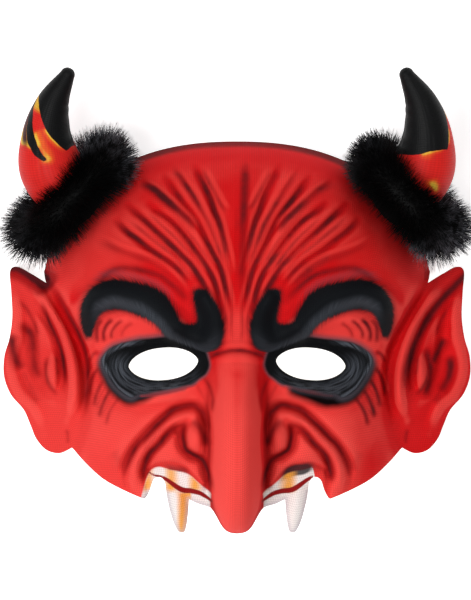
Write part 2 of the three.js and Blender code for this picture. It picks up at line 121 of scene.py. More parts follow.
def near(x, y, path, reach, steps=10):
    """to_line for a smooth curve, worked out for points within reach. Others keep a distance of reach."""
    line = curve(path, steps * (len(path) - 1))
    low, high = line.min(0) - reach, line.max(0) + reach
    close = np.flatnonzero((x > low[0]) & (x < high[0]) & (y > low[1]) & (y < high[1]))
    distance, along, side = np.full(x.shape, float(reach)), np.zeros(x.shape), np.zeros(x.shape)
    for part in np.array_split(close, len(close) // 20000 + 1):
        if len(part):
            d, s, w, _ = to_line(x[part], y[part], line)
            distance[part], along[part], side[part] = np.minimum(d, reach), s, w
    return distance, along, side


def inside_by(x, y, outline, reach):
    """How far each point lies inside a closed outline, in mm, negative outside, and never beyond reach."""
    closed = np.vstack([outline, outline[:1]])
    low, high = closed.min(0) - reach, closed.max(0) + reach
    result = np.full(x.shape, -float(reach))
    close = np.flatnonzero((x > low[0]) & (x < high[0]) & (y > low[1]) & (y < high[1]))
    for part in np.array_split(close, len(close) // 4000 + 1):
        if not len(part):
            continue
        px, py = x[part], y[part]
        distance = to_line(px, py, closed)[0]
        (ax, ay), (bx, by) = closed[:-1].T, closed[1:].T
        crosses = (ay > py[:, None]) != (by > py[:, None])
        with np.errstate(divide="ignore", invalid="ignore"):
            at = ax + (bx - ax) * (py[:, None] - ay) / (by - ay)
        inside = (crosses & (px[:, None] < at)).sum(1) % 2 == 1
        result[part] = np.clip(np.where(inside, distance, -distance), -reach, reach)
    return result


# %% [markdown]
# ## The form of the face
# The press forms the sheet over a plain dome first of all. Its outline and its section are superellipses,
# rounder than a box and fuller than an ellipse. The ears sweep back from it, and the nose stands on it.

# %% Dome, ears and nose
SHEET = 3.0  # mm of foam with its knit and lining
SQUARENESS = 2.3  # 2 would make the outline of the dome an ellipse
FACE_HALF_WIDTH = 94.6
FOREHEAD_HEIGHT = 77.6
DOME_DEPTH = 74.0  # mm, like all sizes of the face
WALL_START = 0.985  # where the rounded dome turns into a straight steep wall
EYE = {"x": 35.6, "y": -30.6, "half_length": 17, "up": 7.6, "down": 8, "tilt": 0.1}
NOSE_PROFILE = [(10, 0), (-6, 2), (-22, 7), (-40, 18), (-55, 29), (-68, 36), (-80, 38.6), (-90, 37.4),
    (-98, 33.4), (-104.6, 26.4), (-109.8, 15.4), (-112.9, 0)]
NOSE_HALF_WIDTHS = [(10, 14), (-12, 15.4), (-28, 16), (-42, 15), (-58, 14.2), (-72, 14.2), (-86, 14),
    (-97, 12.7), (-105, 10), (-110.4, 6.6), (-112.9, 2.6)]


def read_down(pairs, y):
    """The value at each y of a smooth curve through (y, value) pairs, 0 above and below it."""
    places, values = curve(pairs, 120).T
    return np.interp(-y, -places, values, left=0, right=0)


def face_half_width(y):
    return FACE_HALF_WIDTH - 17 * smooth((12 - y) / 50) + 6 * smooth((-45 - y) / 35)


def section(reach):
    """Height of the dome at a share of the way out to its edge."""
    return DOME_DEPTH * (1 - np.minimum(reach, 1) ** 2.6) ** (1 / 2.1)


def dome(x, y):
    up = np.maximum(y, 0) / FOREHEAD_HEIGHT
    reach = ((np.abs(x) / face_half_width(y)) ** SQUARENESS + up**SQUARENESS) ** (1 / SQUARENESS)
    step = 0.01
    wall_slope = (section(WALL_START - step) - section(WALL_START)) / step
    height = section(np.minimum(reach, WALL_START)) - wall_slope * np.maximum(reach - WALL_START, 0)
    return height - 10 * (np.minimum(y, 0) / 100) ** 2


def ear_sheet(x, y):
    above = np.maximum(0, y - (11 + 0.43 * (x - 96)))
    return 29 - 0.7 * np.maximum(0, x - 78) - 0.35 * np.maximum(0, -50 - y) - 3 * above


def nose(x, y):
    across = np.abs(x) / np.maximum(read_down(NOSE_HALF_WIDTHS, y), 0.5)
    foot = 1 + smooth((y + 60) / 30)  # at its root the nose runs softly into the face
    return read_down(NOSE_PROFILE, y) * (1 - np.minimum(across, 1) ** 2.6) ** foot


# %% [markdown]
# ## The moulded folds
# The press's tool gives every brow, lid, crease and ear ridge as a rounded ridge or a rounded groove. Each
# is a curve with half a width and a rise, negative for a groove, so that a few numbers give the whole face.
# Modelling each fold by hand in sculpt mode would work too, but then none of them could be moved later.

# %% Folds and mounds of the tool
FOLDS = {  # path, half width, rise
    "brow_ridge": ([(73, -15), (73.6, -7), (70, 0), (63, 3), (52.4, 2.4), (42.7, -1), (35.5, -7),
        (28, -13.6), (20, -18.5)], 9.5, 6.5),
    "brow_hook": ([(19, -19), (13.4, -18), (11.4, -12), (11.8, -5), (15.4, 2), (18, 5)], 7, 4),
    "lid_fold": ([(64, -20), (60, -12), (52, -8.6), (43, -9.6), (34, -14.6)], 6, 2.4),
    "eye_bag": ([(66, -33), (58, -43), (47, -46.6), (35, -45.4), (22, -40)], 6, 3),
    "cheek_crease": ([(14.6, -66), (15.4, -57), (19, -51.4), (26, -51.8), (34, -56), (42.7, -64), (50, -72),
        (53.6, -80), (53, -88)], 4.5, -3.6),
    "cheek_roll": ([(20, -55.6), (27, -56.6), (35, -61.6), (43, -69.6), (48.6, -78), (50, -86), (48, -94)],
        5.5, 3.6),
    "lip_crease": ([(24.4, -58), (30.6, -61.6), (36, -67), (41.6, -73.4), (45, -80), (46, -88)], 4, -3.4),
    "wing_crease": ([(24.6, -58.6), (27, -64), (26.4, -70.4), (22, -74.8), (17, -77.4), (14.8, -84),
        (12.6, -95)], 4, -3),
    "ear_groove": ([(93, 6), (86.6, -4), (80, -15), (76, -28), (74.8, -40), (76, -51), (79.6, -60)], 5, -4),
    "ear_front_ridge": ([(104, 9), (97, 1.6), (90.6, -7.6), (85.6, -17.6), (81.8, -28), (79.8, -40),
        (80, -50), (83, -59)], 5.5, 5.5),
    "ear_hollow": ([(99, -2), (93.4, -10), (89.4, -19), (86.8, -30), (86, -40), (87, -48)], 4.5, -4),
    "ear_rim": ([(110.8, 8), (109.5, -5), (109.5, -15), (111.9, -26), (112.5, -36), (108.3, -46),
        (100.2, -55), (96, -66)], 5.5, 3.4),
    "ear_bowl_edge": ([(104, -8), (102.4, -20), (101.6, -32), (97.4, -41), (89, -48.6)], 5, -2.4),
    "over_brow": ([(58, 38), (46.8, 28.4), (37, 21.2), (29, 15.4)], 3.6, -1.5),
    "forehead_outer": ([(52.5, 45.8), (41.5, 35.7), (32.3, 27), (24, 18.6)], 3.6, -1.5),
    "forehead_middle": ([(42, 45.8), (32.3, 38.5), (23.6, 28.9), (17.4, 20)], 3.6, -1.5),
    "forehead_inner": ([(34.7, 58.8), (26.5, 48.2), (19.3, 38.5), (14, 27.5), (9, 17)], 3.6, -1.5),
    "forehead_upright": ([(20.2, 64.1), (13, 49.6), (8.7, 37.6)], 3.6, -1.5),
}
MOUNDS = {  # centre, half sizes, turn, rise
    "cheek": ((55, -60), (27, 25), 0.5, 7),
    "eye_socket": ((39, -31), (30, 18), -0.1, -9.5),
    "nostril_wing": ((19.6, -66), (8.6, 11.4), 0.2, 6.5),
    "lip_lobe": ((33, -73), (12, 13), -0.5, 4.5),
    "ear_bowl": ((97, -29), (16, 34), 0.12, -3.6),
    "ear_flap": ((91.4, -36), (5.4, 13), 0.12, 5),
    "fang": ((28.6, -101), (6.5, 18), -0.12, 4),
}
LIP_ARCH = [(46, -84), (42, -79), (37, -76.6), (31, -76), (25.4, -78), (21, -82), (16, -87.6)]


# %% The height of the front
def fold(x, y, path, half, rise, fade=0.16, left=0.25):
    distance, along, _ = near(x, y, path, half)
    ends = smooth(along / fade) * smooth((1 - along) / fade)
    return rise * hill(distance / half) * (left + (1 - left) * ends)


def mound(x, y, centre, size, turn, rise):
    dx, dy = x - centre[0], y - centre[1]
    across = (dx * np.cos(turn) + dy * np.sin(turn)) / size[0]
    along = (dy * np.cos(turn) - dx * np.sin(turn)) / size[1]
    return rise * hill(np.minimum(1, np.hypot(across, along)))


def mouth_step(x, y):
    """The teeth are set back behind the arched upper lip."""
    places, heights = curve(LIP_ARCH, 20)[::-1].T
    edge = np.interp(x, places, heights)
    return -3.5 * smooth((edge - y) / 3) * smooth((x - 12) / 3) * smooth((46 - x) / 3)


def moulded(x, y):
    """Height in mm of the front of the moulded sheet, for points on the right half."""
    a, b = dome(x, y), ear_sheet(x, y)
    height = 0.5 * (a + b + np.hypot(a - b, 4)) + nose(x, y) + mouth_step(x, y)
    for path, half, rise in FOLDS.values():
        height += fold(x, y, path, half, rise)
    for centre, size, turn, rise in MOUNDS.values():
        height += mound(x, y, centre, size, turn, rise)
    return height


# %% [markdown]
# ## The outline
# After pressing, the sheet is cut out: round the ears, the cheeks, the fangs and the tip of the nose, and
# out of the eyes. Over the crown it is cut where the dome meets the table that the mask lies on.

# %% The cut edge of the sheet
EDGE = [
    [(94.4, 8.4), (102.6, 13.2), (109.4, 16.6), (113.2, 14.4), (112.5, 4), (111.9, -8), (113.4, -19),
     (116.1, -28), (116.3, -38), (112.8, -47), (106.3, -54.4), (102.9, -62), (100, -69), (94.8, -74.6),
     (88, -76), (81.6, -73)],
    [(81.6, -73), (75.4, -78.8), (65.8, -86.6), (56, -91.6), (46, -95.6)],
    [(46, -95.6), (44.4, -95.8), (42.4, -92.4), (40.6, -87.2), (38.4, -85.4), (36, -86), (34.6, -88.6)],
    [(34.6, -88.6), (33.6, -96), (31.4, -105), (28.8, -111), (26.8, -112.2), (25, -111), (23.8, -104),
     (23.2, -96)],
    [(23.2, -96), (18.6, -98.2), (12.8, -99.8)],
    [(12.8, -99.8), (10.4, -103), (6.8, -109.2), (3.8, -111.6), (0, -112.2)],
]


def crown_edge(count=160):
    """Down the crown and the temple, where the wall meets the table."""
    turn = np.pi / 2 - np.linspace(0, 1.425, count)
    across, up = np.cos(turn) / FACE_HALF_WIDTH, np.sin(turn) / FOREHEAD_HEIGHT
    rim = (across**SQUARENESS + up**SQUARENESS) ** (-1 / SQUARENESS)
    low, high = np.full(count, 0.97), np.full(count, 1.024)
    for _ in range(20):
        middle = (low + high) / 2
        above = moulded(middle * rim * np.cos(turn), middle * rim * np.sin(turn)) > 0
        low, high = np.where(above, middle, low), np.where(above, high, middle)
    radius = low * rim
    return np.stack([radius * np.cos(turn), radius * np.sin(turn)], 1)


half_edge = np.vstack([crown_edge(), *[curve(points, 12 * (len(points) - 1)) for points in EDGE]])
half_edge[0, 0] = half_edge[-1, 0] = 0
outer_edge = np.vstack([half_edge, half_edge[::-1] * (-1, 1)])

turn = np.linspace(0, 2 * np.pi, 160, endpoint=False)
along = EYE["half_length"] * np.sign(np.cos(turn)) * np.abs(np.cos(turn)) ** 0.9
across = np.where(np.sin(turn) > 0, EYE["up"], EYE["down"]) * np.sin(turn) * np.abs(np.sin(turn)) ** 0.25
eye_edge = np.stack([
    EYE["x"] + along * np.cos(EYE["tilt"]) + across * np.sin(EYE["tilt"]),
    EYE["y"] - along * np.sin(EYE["tilt"]) + across * np.cos(EYE["tilt"]),
], 1)
print("outline", len(outer_edge), "points; eye hole", np.ptp(eye_edge, 0).round(1), "mm")

# %% [markdown]
# ## The lattice
# A sheet that is seen from one side can be a lattice of points with one height each. A staggered lattice
# gives even triangles that don't favour a direction, which matters where many folds run at a slant. Its
# columns stand closer together beside the nose, where the wall is steep. Points near the edge are pulled
# onto it, so that the cut runs smoothly however coarse the lattice is.

# %% A staggered lattice
PITCH = 0.93  # mm between columns
BOTTOM, TOP = -113, 84  # mm
ROW_SHARE = 0.866  # rows stand this much closer than columns, for even triangles
rows = np.arange(BOTTOM, TOP, PITCH * ROW_SHARE)
columns = int(120 / PITCH) + 12  # on either side, the closer ones beside the nose counted


def spread(number):
    """Turns column numbers into mm, with closer columns from 7 to 15 mm out."""
    x = np.linspace(0, 130, 2600)
    density = 1 + 0.7 * np.exp(-(((x - 11.5) / 4) ** 2))
    count = np.concatenate([[0], ((density[1:] + density[:-1]) / 2 * np.diff(x)).cumsum()]) / PITCH
    return np.sign(number) * np.interp(np.abs(number), count, x)


number = np.arange(-columns, columns + 1)[None, :] + 0.5 * (np.arange(len(rows)) % 2)[:, None]
lattice_x, lattice_y = spread(number), np.repeat(rows[:, None], number.shape[1], 1)
shape = lattice_x.shape
row, column = np.indices(shape)
twin_column = np.where(row % 2 == 0, 2 * columns - column, 2 * columns - 1 - column)
twin = (row * shape[1] + np.maximum(twin_column, 0)).ravel()
flat_x, flat_y = lattice_x.ravel().copy(), lattice_y.ravel().copy()
right = np.flatnonzero((flat_x > -1e-6) & (twin_column.ravel() >= 0))

# %% [markdown]
# Only the right half is pulled onto the edge. Each point has a twin on the left, which takes its mirrored
# place, so both halves stay alike.

# %% Pull its points onto the cut edge
depth = inside_by(flat_x[right], flat_y[right], outer_edge, 6)
eye_depth = inside_by(flat_x[right], flat_y[right], eye_edge, 6)
kept = np.minimum(depth, -eye_depth)  # how far inside the sheet
for line, own in ((outer_edge, depth), (eye_edge, -eye_depth)):
    close = np.flatnonzero((np.abs(own) < 0.5 * PITCH) & (np.abs(own) <= np.abs(kept) + 1e-9))
    on_edge = to_line(flat_x[right[close]], flat_y[right[close]], np.vstack([line, line[:1]]))[3]
    on_axis = np.abs(flat_x[right[close]]) < 1e-6
    flat_x[right[close]] = np.where(on_axis, 0, np.maximum(on_edge[:, 0], 0))
    flat_y[right[close]] = on_edge[:, 1]
    kept[close] = 0
inside = np.zeros(len(flat_x), bool)
inside[right] = kept > -1e-9
left = right[flat_x[right] > 1e-6]
flat_x[twin[left]], flat_y[twin[left]], inside[twin[left]] = -flat_x[left], flat_y[left], inside[left]

# %% Triangles of the front
index = np.arange(len(flat_x)).reshape(shape)
triangles = []
for first in (0, 1):
    lower, upper = index[first:-1:2], index[first + 1::2]
    lower, upper = lower[:len(upper)], upper[:len(lower)]
    a, b, c, d = lower[:, :-1], lower[:, 1:], upper[:, :-1], upper[:, 1:]
    triangles += [(a, d, c), (a, b, d)] if first else [(a, b, c), (c, b, d)]
triangles = np.vstack([np.stack([c.ravel() for c in corners], 1) for corners in triangles])
triangles = triangles[inside[triangles].all(1)]
(ax, ay), (bx, by), (cx, cy) = [(flat_x[triangles[:, k]], flat_y[triangles[:, k]]) for k in range(3)]
area = 0.5 * ((bx - ax) * (cy - ay) - (by - ay) * (cx - ax))
middle_x, middle_y = (ax + bx + cx) / 3, (ay + by + cy) / 3
SMALLEST = 0.02  # mm2
solid = (area > SMALLEST) & (inside_by(np.abs(middle_x), middle_y, outer_edge, 2) > 0)
solid &= inside_by(np.abs(middle_x), middle_y, eye_edge, 2) < 0
triangles = triangles[solid]
used = np.unique(triangles)
renumber = np.full(len(flat_x), -1)
renumber[used] = np.arange(len(used))
triangles = renumber[triangles]
signed_x, sheet_y = flat_x[used], flat_y[used]
sheet_x = np.abs(signed_x)
print("lattice:", len(used), "points,", len(triangles), "triangles in the front")

# %% [markdown]
# ## Finer creases
# Between the big folds the tool has finer ones: the fan of creases on the forehead, crow's feet, lid folds
# and the rings round the eye holes. Each is a millimetre deep or less. The same lines are printed darker,
# so each line carries a share of ink as well as its depth, and one table serves the form and the print.

# %% Creases: path, half width in mm, rise in mm, ink from 0 to 1
CREASES = {
    "forehead_1": ([(62, 41.5), (57.7, 37.7), (52.7, 32.8), (46.8, 28.4), (41.9, 24.5), (37, 21.1),
        (31.2, 17.2), (26.4, 12.4), (21.1, 4.8)], 1.7, -0.9, 0.75),
    "forehead_2": ([(57.5, 50), (52.9, 46), (46.9, 40.6), (41.5, 35.6), (36.6, 31), (32.2, 26.9),
        (26.9, 21.6), (21.6, 16.3), (15.4, 6.7), (12.5, 0), (10.6, -7)], 1.8, -0.9, 0.8),
    "forehead_3": ([(47, 50), (42.1, 45.9), (37.2, 41.9), (32.3, 38.5), (28.4, 34.6), (23.6, 28.8),
        (20.2, 24), (16.4, 18.7), (13, 13.4), (10.6, 8.1), (8.2, 0), (6.2, -8), (5.2, -16)],
        1.7, -0.9, 0.8),
    "forehead_4": ([(49, 58.6), (43.8, 55.9), (39.8, 53.3), (35.8, 49.7), (31.4, 45.8), (26.5, 41.3),
        (22.6, 37.4), (18.6, 31)], 2.2, -1.0, 0.95),
    "forehead_5": ([(39, 64), (35.1, 59.3), (31.1, 54.2), (26.6, 48.2), (22.7, 43.3), (19.3, 38.4),
        (16.4, 32.6), (14, 27.3), (11.1, 21.5), (7.9, 15.3), (5.6, 6), (3.8, -3), (3.2, -12)],
        1.7, -0.9, 0.85),
    "forehead_6": ([(33.4, 67.4), (30.3, 63.3), (25.3, 56.6), (20.3, 49.1), (16.4, 42.3), (13, 36),
        (9.6, 27), (6.6, 17), (4, 7)], 1.5, -0.7, 0.7),
    "forehead_7": ([(23.4, 69), (20.5, 64.7), (16.6, 57.1), (13.1, 49.6), (10.7, 42.3), (8.7, 37.4),
        (6.2, 28), (4, 18), (2.4, 8)], 1.9, -0.9, 0.85),
    "forehead_8": ([(17.6, 66), (15.6, 60.6), (11.7, 53.1), (8.3, 46.6), (4.4, 40.8)], 1.5, -0.5, 0.5),
    "between_1": ([(56, 42.6), (48, 35.6), (40, 29), (31.5, 21.6), (25, 14.4), (19.6, 7)], 1.2, -0.4, 0.4),
    "between_2": ([(44.6, 43), (37.6, 37), (30.6, 30.8), (24.6, 24), (19, 16.4), (14, 8.4)],
        1.2, -0.4, 0.45),
    "between_3": ([(36, 46), (30, 40), (24.4, 33.6), (19.4, 27.4), (14.6, 20), (10.8, 12)], 1.2, -0.4, 0.4),
    "between_4": ([(27, 57), (21.4, 49), (17.4, 41.6), (13.6, 33.4), (10.4, 25), (7.6, 16)],
        1.2, -0.4, 0.4),
    "forehead_low": ([(70, 33), (66.4, 30), (58.9, 25.6), (51.5, 22.6), (41.8, 19.2), (34.6, 14.4),
        (27.4, 7.2), (24, 1)], 3.2, -0.6, 0.5),
    "root_upright": ([(6.4, 20), (5.4, 8), (5.8, -4), (4.6, -16)], 1.6, -0.5, 0.45),
    "root_inner": ([(2.6, 12), (2.4, -2), (2.6, -14), (1.6, -21)], 1.2, -0.4, 0.45),
    "over_brow_groove": ([(70, 3), (66, 9), (63.7, 12.1), (56.4, 15.4), (46.6, 14.4), (37.9, 12),
        (32.2, 8.1), (25, 1), (22.4, -4.5)], 2.4, -0.9, 0.7),
    "centre": ([(0, 50), (0, 30), (0, 12), (0, 0)], 1.6, -0.35, 0.3),
    "lid_1": ([(67.6, -21.9), (68, -17), (67.4, -12.1), (64.3, -8.7)], 1.7, -0.6, 0.75),
    "lid_2": ([(64.2, -21.5), (64.6, -16), (62.6, -11.6), (59, -8.6)], 1.5, -0.6, 0.85),
    "lid_3": ([(60.6, -20), (60.4, -15.5), (57.6, -11.6), (54, -9.4)], 1.4, -0.5, 0.7),
    "lid_4": ([(56, -19.2), (55, -15.2), (52, -12.2), (49, -10.8)], 1.3, -0.4, 0.5),
    "crow_1": ([(64, -37.6), (66.6, -41.8), (68.8, -47), (70.2, -53.4)], 1.6, -0.6, 0.6),
    "crow_2": ([(60, -41.8), (63.2, -46.4), (65.6, -51.6), (67.2, -58.2)], 1.7, -0.7, 0.65),
    "crow_3": ([(55, -45.4), (58.8, -49.2), (61.9, -54.6), (63.8, -62)], 1.6, -0.6, 0.5),
    "crow_4": ([(66, -32), (69.8, -36), (72, -42), (73, -48.6)], 1.5, -0.6, 0.6),
    "crow_5": ([(66.5, -25.2), (70.4, -26.6), (73, -31.5)], 1.4, -0.5, 0.5),
    "crow_6": ([(62.4, -40), (65.2, -44.4), (67.4, -49.6), (68.6, -55)], 1.0, -0.4, 0.4),
    "crow_7": ([(57.8, -43.8), (61.2, -48), (63.8, -53.2), (65.4, -59)], 1.0, -0.4, 0.4),
    "bridge": ([(15.6, -28.8), (10.6, -26.2), (5.8, -24.6), (0, -24), (-10, -26)], 1.4, -0.8, 0.8),
    "bridge_roll": ([(15, -25), (8, -22), (0, -20.9), (-10, -22.6)], 1.8, 0.6, 0),
    "bridge_roll_2": ([(15.6, -30), (8, -27.8), (0, -27), (-10, -28.4)], 1.8, 0.6, 0),
    "bridge_low": ([(15.4, -32.6), (8, -30.6), (0, -29.8), (-10, -31)], 1.3, -0.4, 0.1),
    "nose_root": ([(18, -34.4), (15.8, -37.2), (12.8, -42.4), (11.6, -48), (12.6, -55)], 1.5, -0.5, 0.5),
    "nose_root_2": ([(20.6, -38.8), (18, -43), (15.2, -49), (14.6, -55)], 1.3, -0.4, 0.35),
    "cheek_outer": ([(14.5, -69.9), (14, -62.3), (15, -58), (16.2, -54.5), (18.6, -52.1), (21.7, -50.4),
        (27.5, -51.6), (31.3, -53.1), (34.9, -56.7), (39.5, -61), (44.3, -66.1), (47.5, -69.1),
        (50.2, -73.3), (52.3, -77.8), (53.5, -82.5), (52.3, -87.4)], 2.0, -0.6, 0.76),
    "cheek_inner": ([(26.9, -58.5), (31.3, -62.4), (34.4, -65.5), (37.1, -68.9), (41, -72.6), (43, -75.6),
        (44.5, -80.4), (45.3, -85), (45.5, -90.8)], 1.9, -0.6, 0.85),
    "cheek_middle": ([(31, -58.4), (36, -62.4), (40.6, -67.4), (44.6, -72), (47.4, -77.4)], 1.0, -0.3, 0.3),
    "wing": ([(22.1, -57.4), (25, -60), (26, -64.1), (25.5, -67.9), (24.6, -71.5), (22.2, -73.4),
        (18.8, -75.4), (16.4, -77.1), (15, -80), (13.5, -84.4), (12.4, -93.3)], 1.8, -0.6, 0.86),
    "wing_shade": ([(22.1, -56.6), (17.8, -61.1), (15.4, -66), (14, -71.3)], 2.8, -0.2, 0.7),
    "nose_side": ([(12.6, -56), (12.9, -71.5), (13.2, -81.2), (12.8, -94.5)], 1.8, 0, 0.3),
    "nose_tip_side": ([(12.8, -94), (11.4, -100.4), (8, -106.6)], 2.0, 0, 0.25),
    "ear_junction": ([(94.6, 9), (92.2, 7.4), (88.3, 3.4), (84.8, -3.4), (80.7, -10.8), (76.8, -18.6),
        (74.4, -25.5), (73.5, -32.4), (73.6, -39.4), (74.1, -45.3), (75, -51.7), (76, -58.6)],
        2.0, -0.4, 1.0),
    "ear_dark_line": ([(98.6, 0.6), (96.5, -3), (94, -8.4), (91.6, -14.2), (89.2, -19), (87.4, -23.9),
        (86, -29), (85.3, -34.3), (84.6, -44)], 1.9, -0.5, 0.8),
    "ear_upper_line": ([(109, 1.8), (103.4, -6.5), (99.9, -14.2), (99.1, -19.7)], 1.8, -0.4, 0.5),
    "ear_smudge": ([(110, -10), (105.6, -13.4), (102.6, -17.4), (101.6, -25), (100.6, -34), (96.6, -41)],
        3.2, -0.3, 0.8),
    "ear_helix": ([(111.6, -15), (112, -22), (110, -29.4), (106.6, -36.4)], 3.4, -0.3, 0.95),
    "ear_helix_low": ([(108, -33), (103.6, -42), (97.4, -53)], 2.6, -0.5, 0.35),
    "ear_long_line": ([(128, 27), (118.5, 17), (112, 10.4), (103.1, 1.7), (96.5, -6.9), (89.9, -17.5),
        (85.6, -28.1), (83.6, -37.3), (83.6, -50)], 3.0, -0.2, 1.0),
    "ear_dab_1": ([(104, -18), (101.8, -22), (97.8, -29.4), (96, -33)], 2.8, -0.1, 0.9),
    "ear_dab_2": ([(106, -26), (106.4, -33), (104.8, -40), (100, -47)], 3.2, -0.1, 0.9),
    "ear_dab_3": ([(93, -22), (95.6, -31), (95.6, -40), (92.4, -49)], 2.8, -0.1, 0.75),
    "ear_flap_edge": ([(93.7, -26.7), (94.9, -32.9), (93.7, -39.8), (90.2, -45.4), (86.7, -46.8)],
        1.7, -0.6, 0.6),
    "ear_flap_line": ([(89.4, -27), (89, -33), (88, -38)], 1.0, -0.3, 0.45),
    "ear_lobe": ([(84.4, -63), (83.6, -68), (83.6, -72)], 1.5, -0.4, 0.45),
    "ear_top_edge": ([(118, 14.6), (112, 17.4), (107, 16.4), (101, 13), (95, 8.6), (91, 4)], 5.6, 0, 1.6),
    "lid_line": ([(46, -45.9), (40, -45.4), (34, -44.3), (27, -42.6), (20, -40.2)], 0.9, -0.2, 0),
    "jaw_mark": ([(60.6, -72), (57, -78), (55, -84)], 4.2, -0.2, 0.3),
}
PRINTED_ON = {  # the print isn't the same on both ears: share of the ink on the left and on the right
    "ear_top_edge": (1, 0.3),
    "ear_junction": (0.75, 0.45),
    "ear_smudge": (0.85, 0),
    "ear_helix": (0.8, 0),
    "ear_dark_line": (1, 0),
    "ear_long_line": (0, 1),
    "ear_dab_1": (0, 1),
    "ear_dab_2": (0, 0.9),
    "ear_dab_3": (0, 1.1),
    "crow_1": (1, 1.4),
    "crow_2": (1, 1.4),
    "crow_3": (1, 1.5),
    "crow_4": (1, 1.4),
    "crow_5": (1, 1.4),
}
BAG_SHADOW = [(65, -32), (63, -36), (57.6, -42), (52, -45.4), (42.6, -47.4), (34.5, -45.8), (27, -43.2)]


def tapered(x, y, path, half, fade=0.3):
    """1 on a line that thins out at both ends, 0 beside it."""
    distance, along, _ = near(x, y, path, half)
    return hill(distance / half) * smooth(along / fade + 0.15) * smooth((1 - along) / fade + 0.15)


# %% Depth and ink of every crease
fine, ink, haze, lit = np.zeros((4, len(sheet_x)))
for name, (path, half, rise, dark) in CREASES.items():
    fan = name.startswith(("forehead", "between"))
    line = tapered(sheet_x, sheet_y, path, half, 0.2 if fan else 0.3)
    fine += rise * line
    left_share, right_share = PRINTED_ON.get(name, (1, 1))
    dark = dark * np.where(signed_x < 0, left_share, right_share)
    if fan:  # airbrushed by hand: each line is darker in one stretch than in another, and the sides differ
        stretch = np.sin(signed_x * 0.05 + sheet_y * 0.13 + 2.4 * len(name) + 1.9 * half * ord(name[-1]))
        dark = dark * (0.62 + 0.5 * (0.5 + 0.5 * stretch))
    ink = np.maximum(ink, dark * tapered(sheet_x, sheet_y, path, (1.5 if fan else 1.1) * half))
    haze = np.maximum(haze, dark * tapered(sheet_x, sheet_y, path, (2.5 if fan else 2.1) * half, 0.2))
    if name.startswith(("crow", "lid_")):  # crow's feet swell on both sides, and the swells get a painted highlight
        distance, along, _ = near(sheet_x, sheet_y, path, 4)
        ends = smooth(along / 0.3) * smooth((1 - along) / 0.3)
        lit = np.maximum(lit, 0.7 * hill((distance - 1.9) / 1.5) * ends)
    if fan:  # the skin swells beside each crease of the fan, on its inner, upper side; the swell gets a painted highlight and the outer side painted shade
        distance, along, side = near(sheet_x, sheet_y, path, 6)
        ends = smooth(along / 0.25) * smooth((1 - along) / 0.2)
        swell = ends * hill((-side * distance - 2.3) / 2.2)
        lit = np.maximum(lit, swell)
        haze = np.maximum(haze, 0.55 * ends * hill((side * distance - 0.6) / 3.2))
SWELL = 0.3  # mm
fine += SWELL * lit
smudge = hill((signed_x - 2.6 - 0.03 * (sheet_y - 20)) / 4.4)  # an airbrushed stroke, off centre
smudge *= smooth((73 - sheet_y) / 14) * smooth((sheet_y + 8) / 24)
ink = np.maximum(ink, 0.72 * smudge * (0.66 + 0.34 * smooth((sheet_y - 26) / 20)))
haze = np.maximum(haze, 0.8 * smudge)
lit *= 1 - 0.7 * smudge
print(len(CREASES), "creases; deepest", fine.min().round(2), "mm")

# %% [markdown]
# ## Rings round the eye holes
# The sockets are wrinkled in rings that follow the eye hole. They come from the distance to the hole's own
# edge, so the rings need no drawing of their own.

# %% Socket rings and the centre line of the brow
eye_distance = -inside_by(sheet_x, sheet_y, eye_edge, 20)
outer_side = np.clip(smooth((sheet_x - 30) / 12) + smooth((-34 - sheet_y) / 6), 0, 1)
RING_SPACING, RING_HEIGHT = 3.1, 0.26  # mm
ring = np.sin(2 * np.pi * eye_distance / RING_SPACING + 0.9 * np.sin(sheet_x / 4))
fine += RING_HEIGHT * ring * smooth(eye_distance / 2) * smooth((10 - eye_distance) / 3) * outer_side

BROW_CENTRE = [(72.6, -16.5), (72.6, -8.7), (70.6, -1.5), (66.2, 1.5), (59.4, 3.4), (52, 2), (44.8, 0),
    (38.9, -3.9), (33.5, -8.8), (28.7, -14.6), (22.9, -18), (16.6, -19.5), (13.2, -14.6), (14.2, -4.9),
    (16.6, 1.5), (17.6, 4.5)]
brow_distance, brow_along, brow_side = near(sheet_x, sheet_y, BROW_CENTRE, 14, steps=16)
brow_length = np.hypot(*np.diff(curve(BROW_CENTRE, 200), axis=0).T).sum()
brow_over = -brow_side * brow_distance
print("brow", round(brow_length), "mm long")

# %% [markdown]
# ## Both faces of the sheet
# The back of a pressed sheet isn't its front moved down: inside a tight fold it is rounder. A ball that has
# the sheet's thickness as its radius, rolled along the front, gives the right back. On a regular grid that
# is a minimum over a small disc, and the grid is a few fast array steps where a search per vertex would
# take minutes.

# %% The back, by rolling a ball along the front
CELL = 0.5  # mm
grid_x, grid_y = np.arange(0, 124, CELL), np.arange(-120, 90, CELL)
gx, gy = [a.ravel() for a in np.meshgrid(grid_x, grid_y)]
front_grid = moulded(gx, gy).reshape(len(grid_y), len(grid_x))
reach = int(SHEET / CELL)
padded_grid = np.pad(front_grid, ((reach, reach), (reach, reach)), mode="edge")
padded_grid[:, :reach] = padded_grid[:, reach + reach:reach:-1]  # the left half mirrors the right one
back_grid = np.full(front_grid.shape, np.inf)
for i in range(-reach, reach + 1):
    for j in range(-reach, reach + 1):
        square = SHEET**2 - (i * i + j * j) * CELL**2
        if square >= 0:
            moved = padded_grid[reach + i:reach + i + len(grid_y), reach + j:reach + j + len(grid_x)]
            back_grid = np.minimum(back_grid, moved - np.sqrt(square))


def on_grid(grid, x, y):
    """Reads a grid between its points."""
    u, v = np.clip(x / CELL, 0, len(grid_x) - 1.001), np.clip((y - grid_y[0]) / CELL, 0, len(grid_y) - 1.001)
    i, j = u.astype(int), v.astype(int)
    u, v = u - i, v - j
    low, high = [grid[k, i] * (1 - u) + grid[k, i + 1] * u for k in (j, j + 1)]
    return low * (1 - v) + high * v


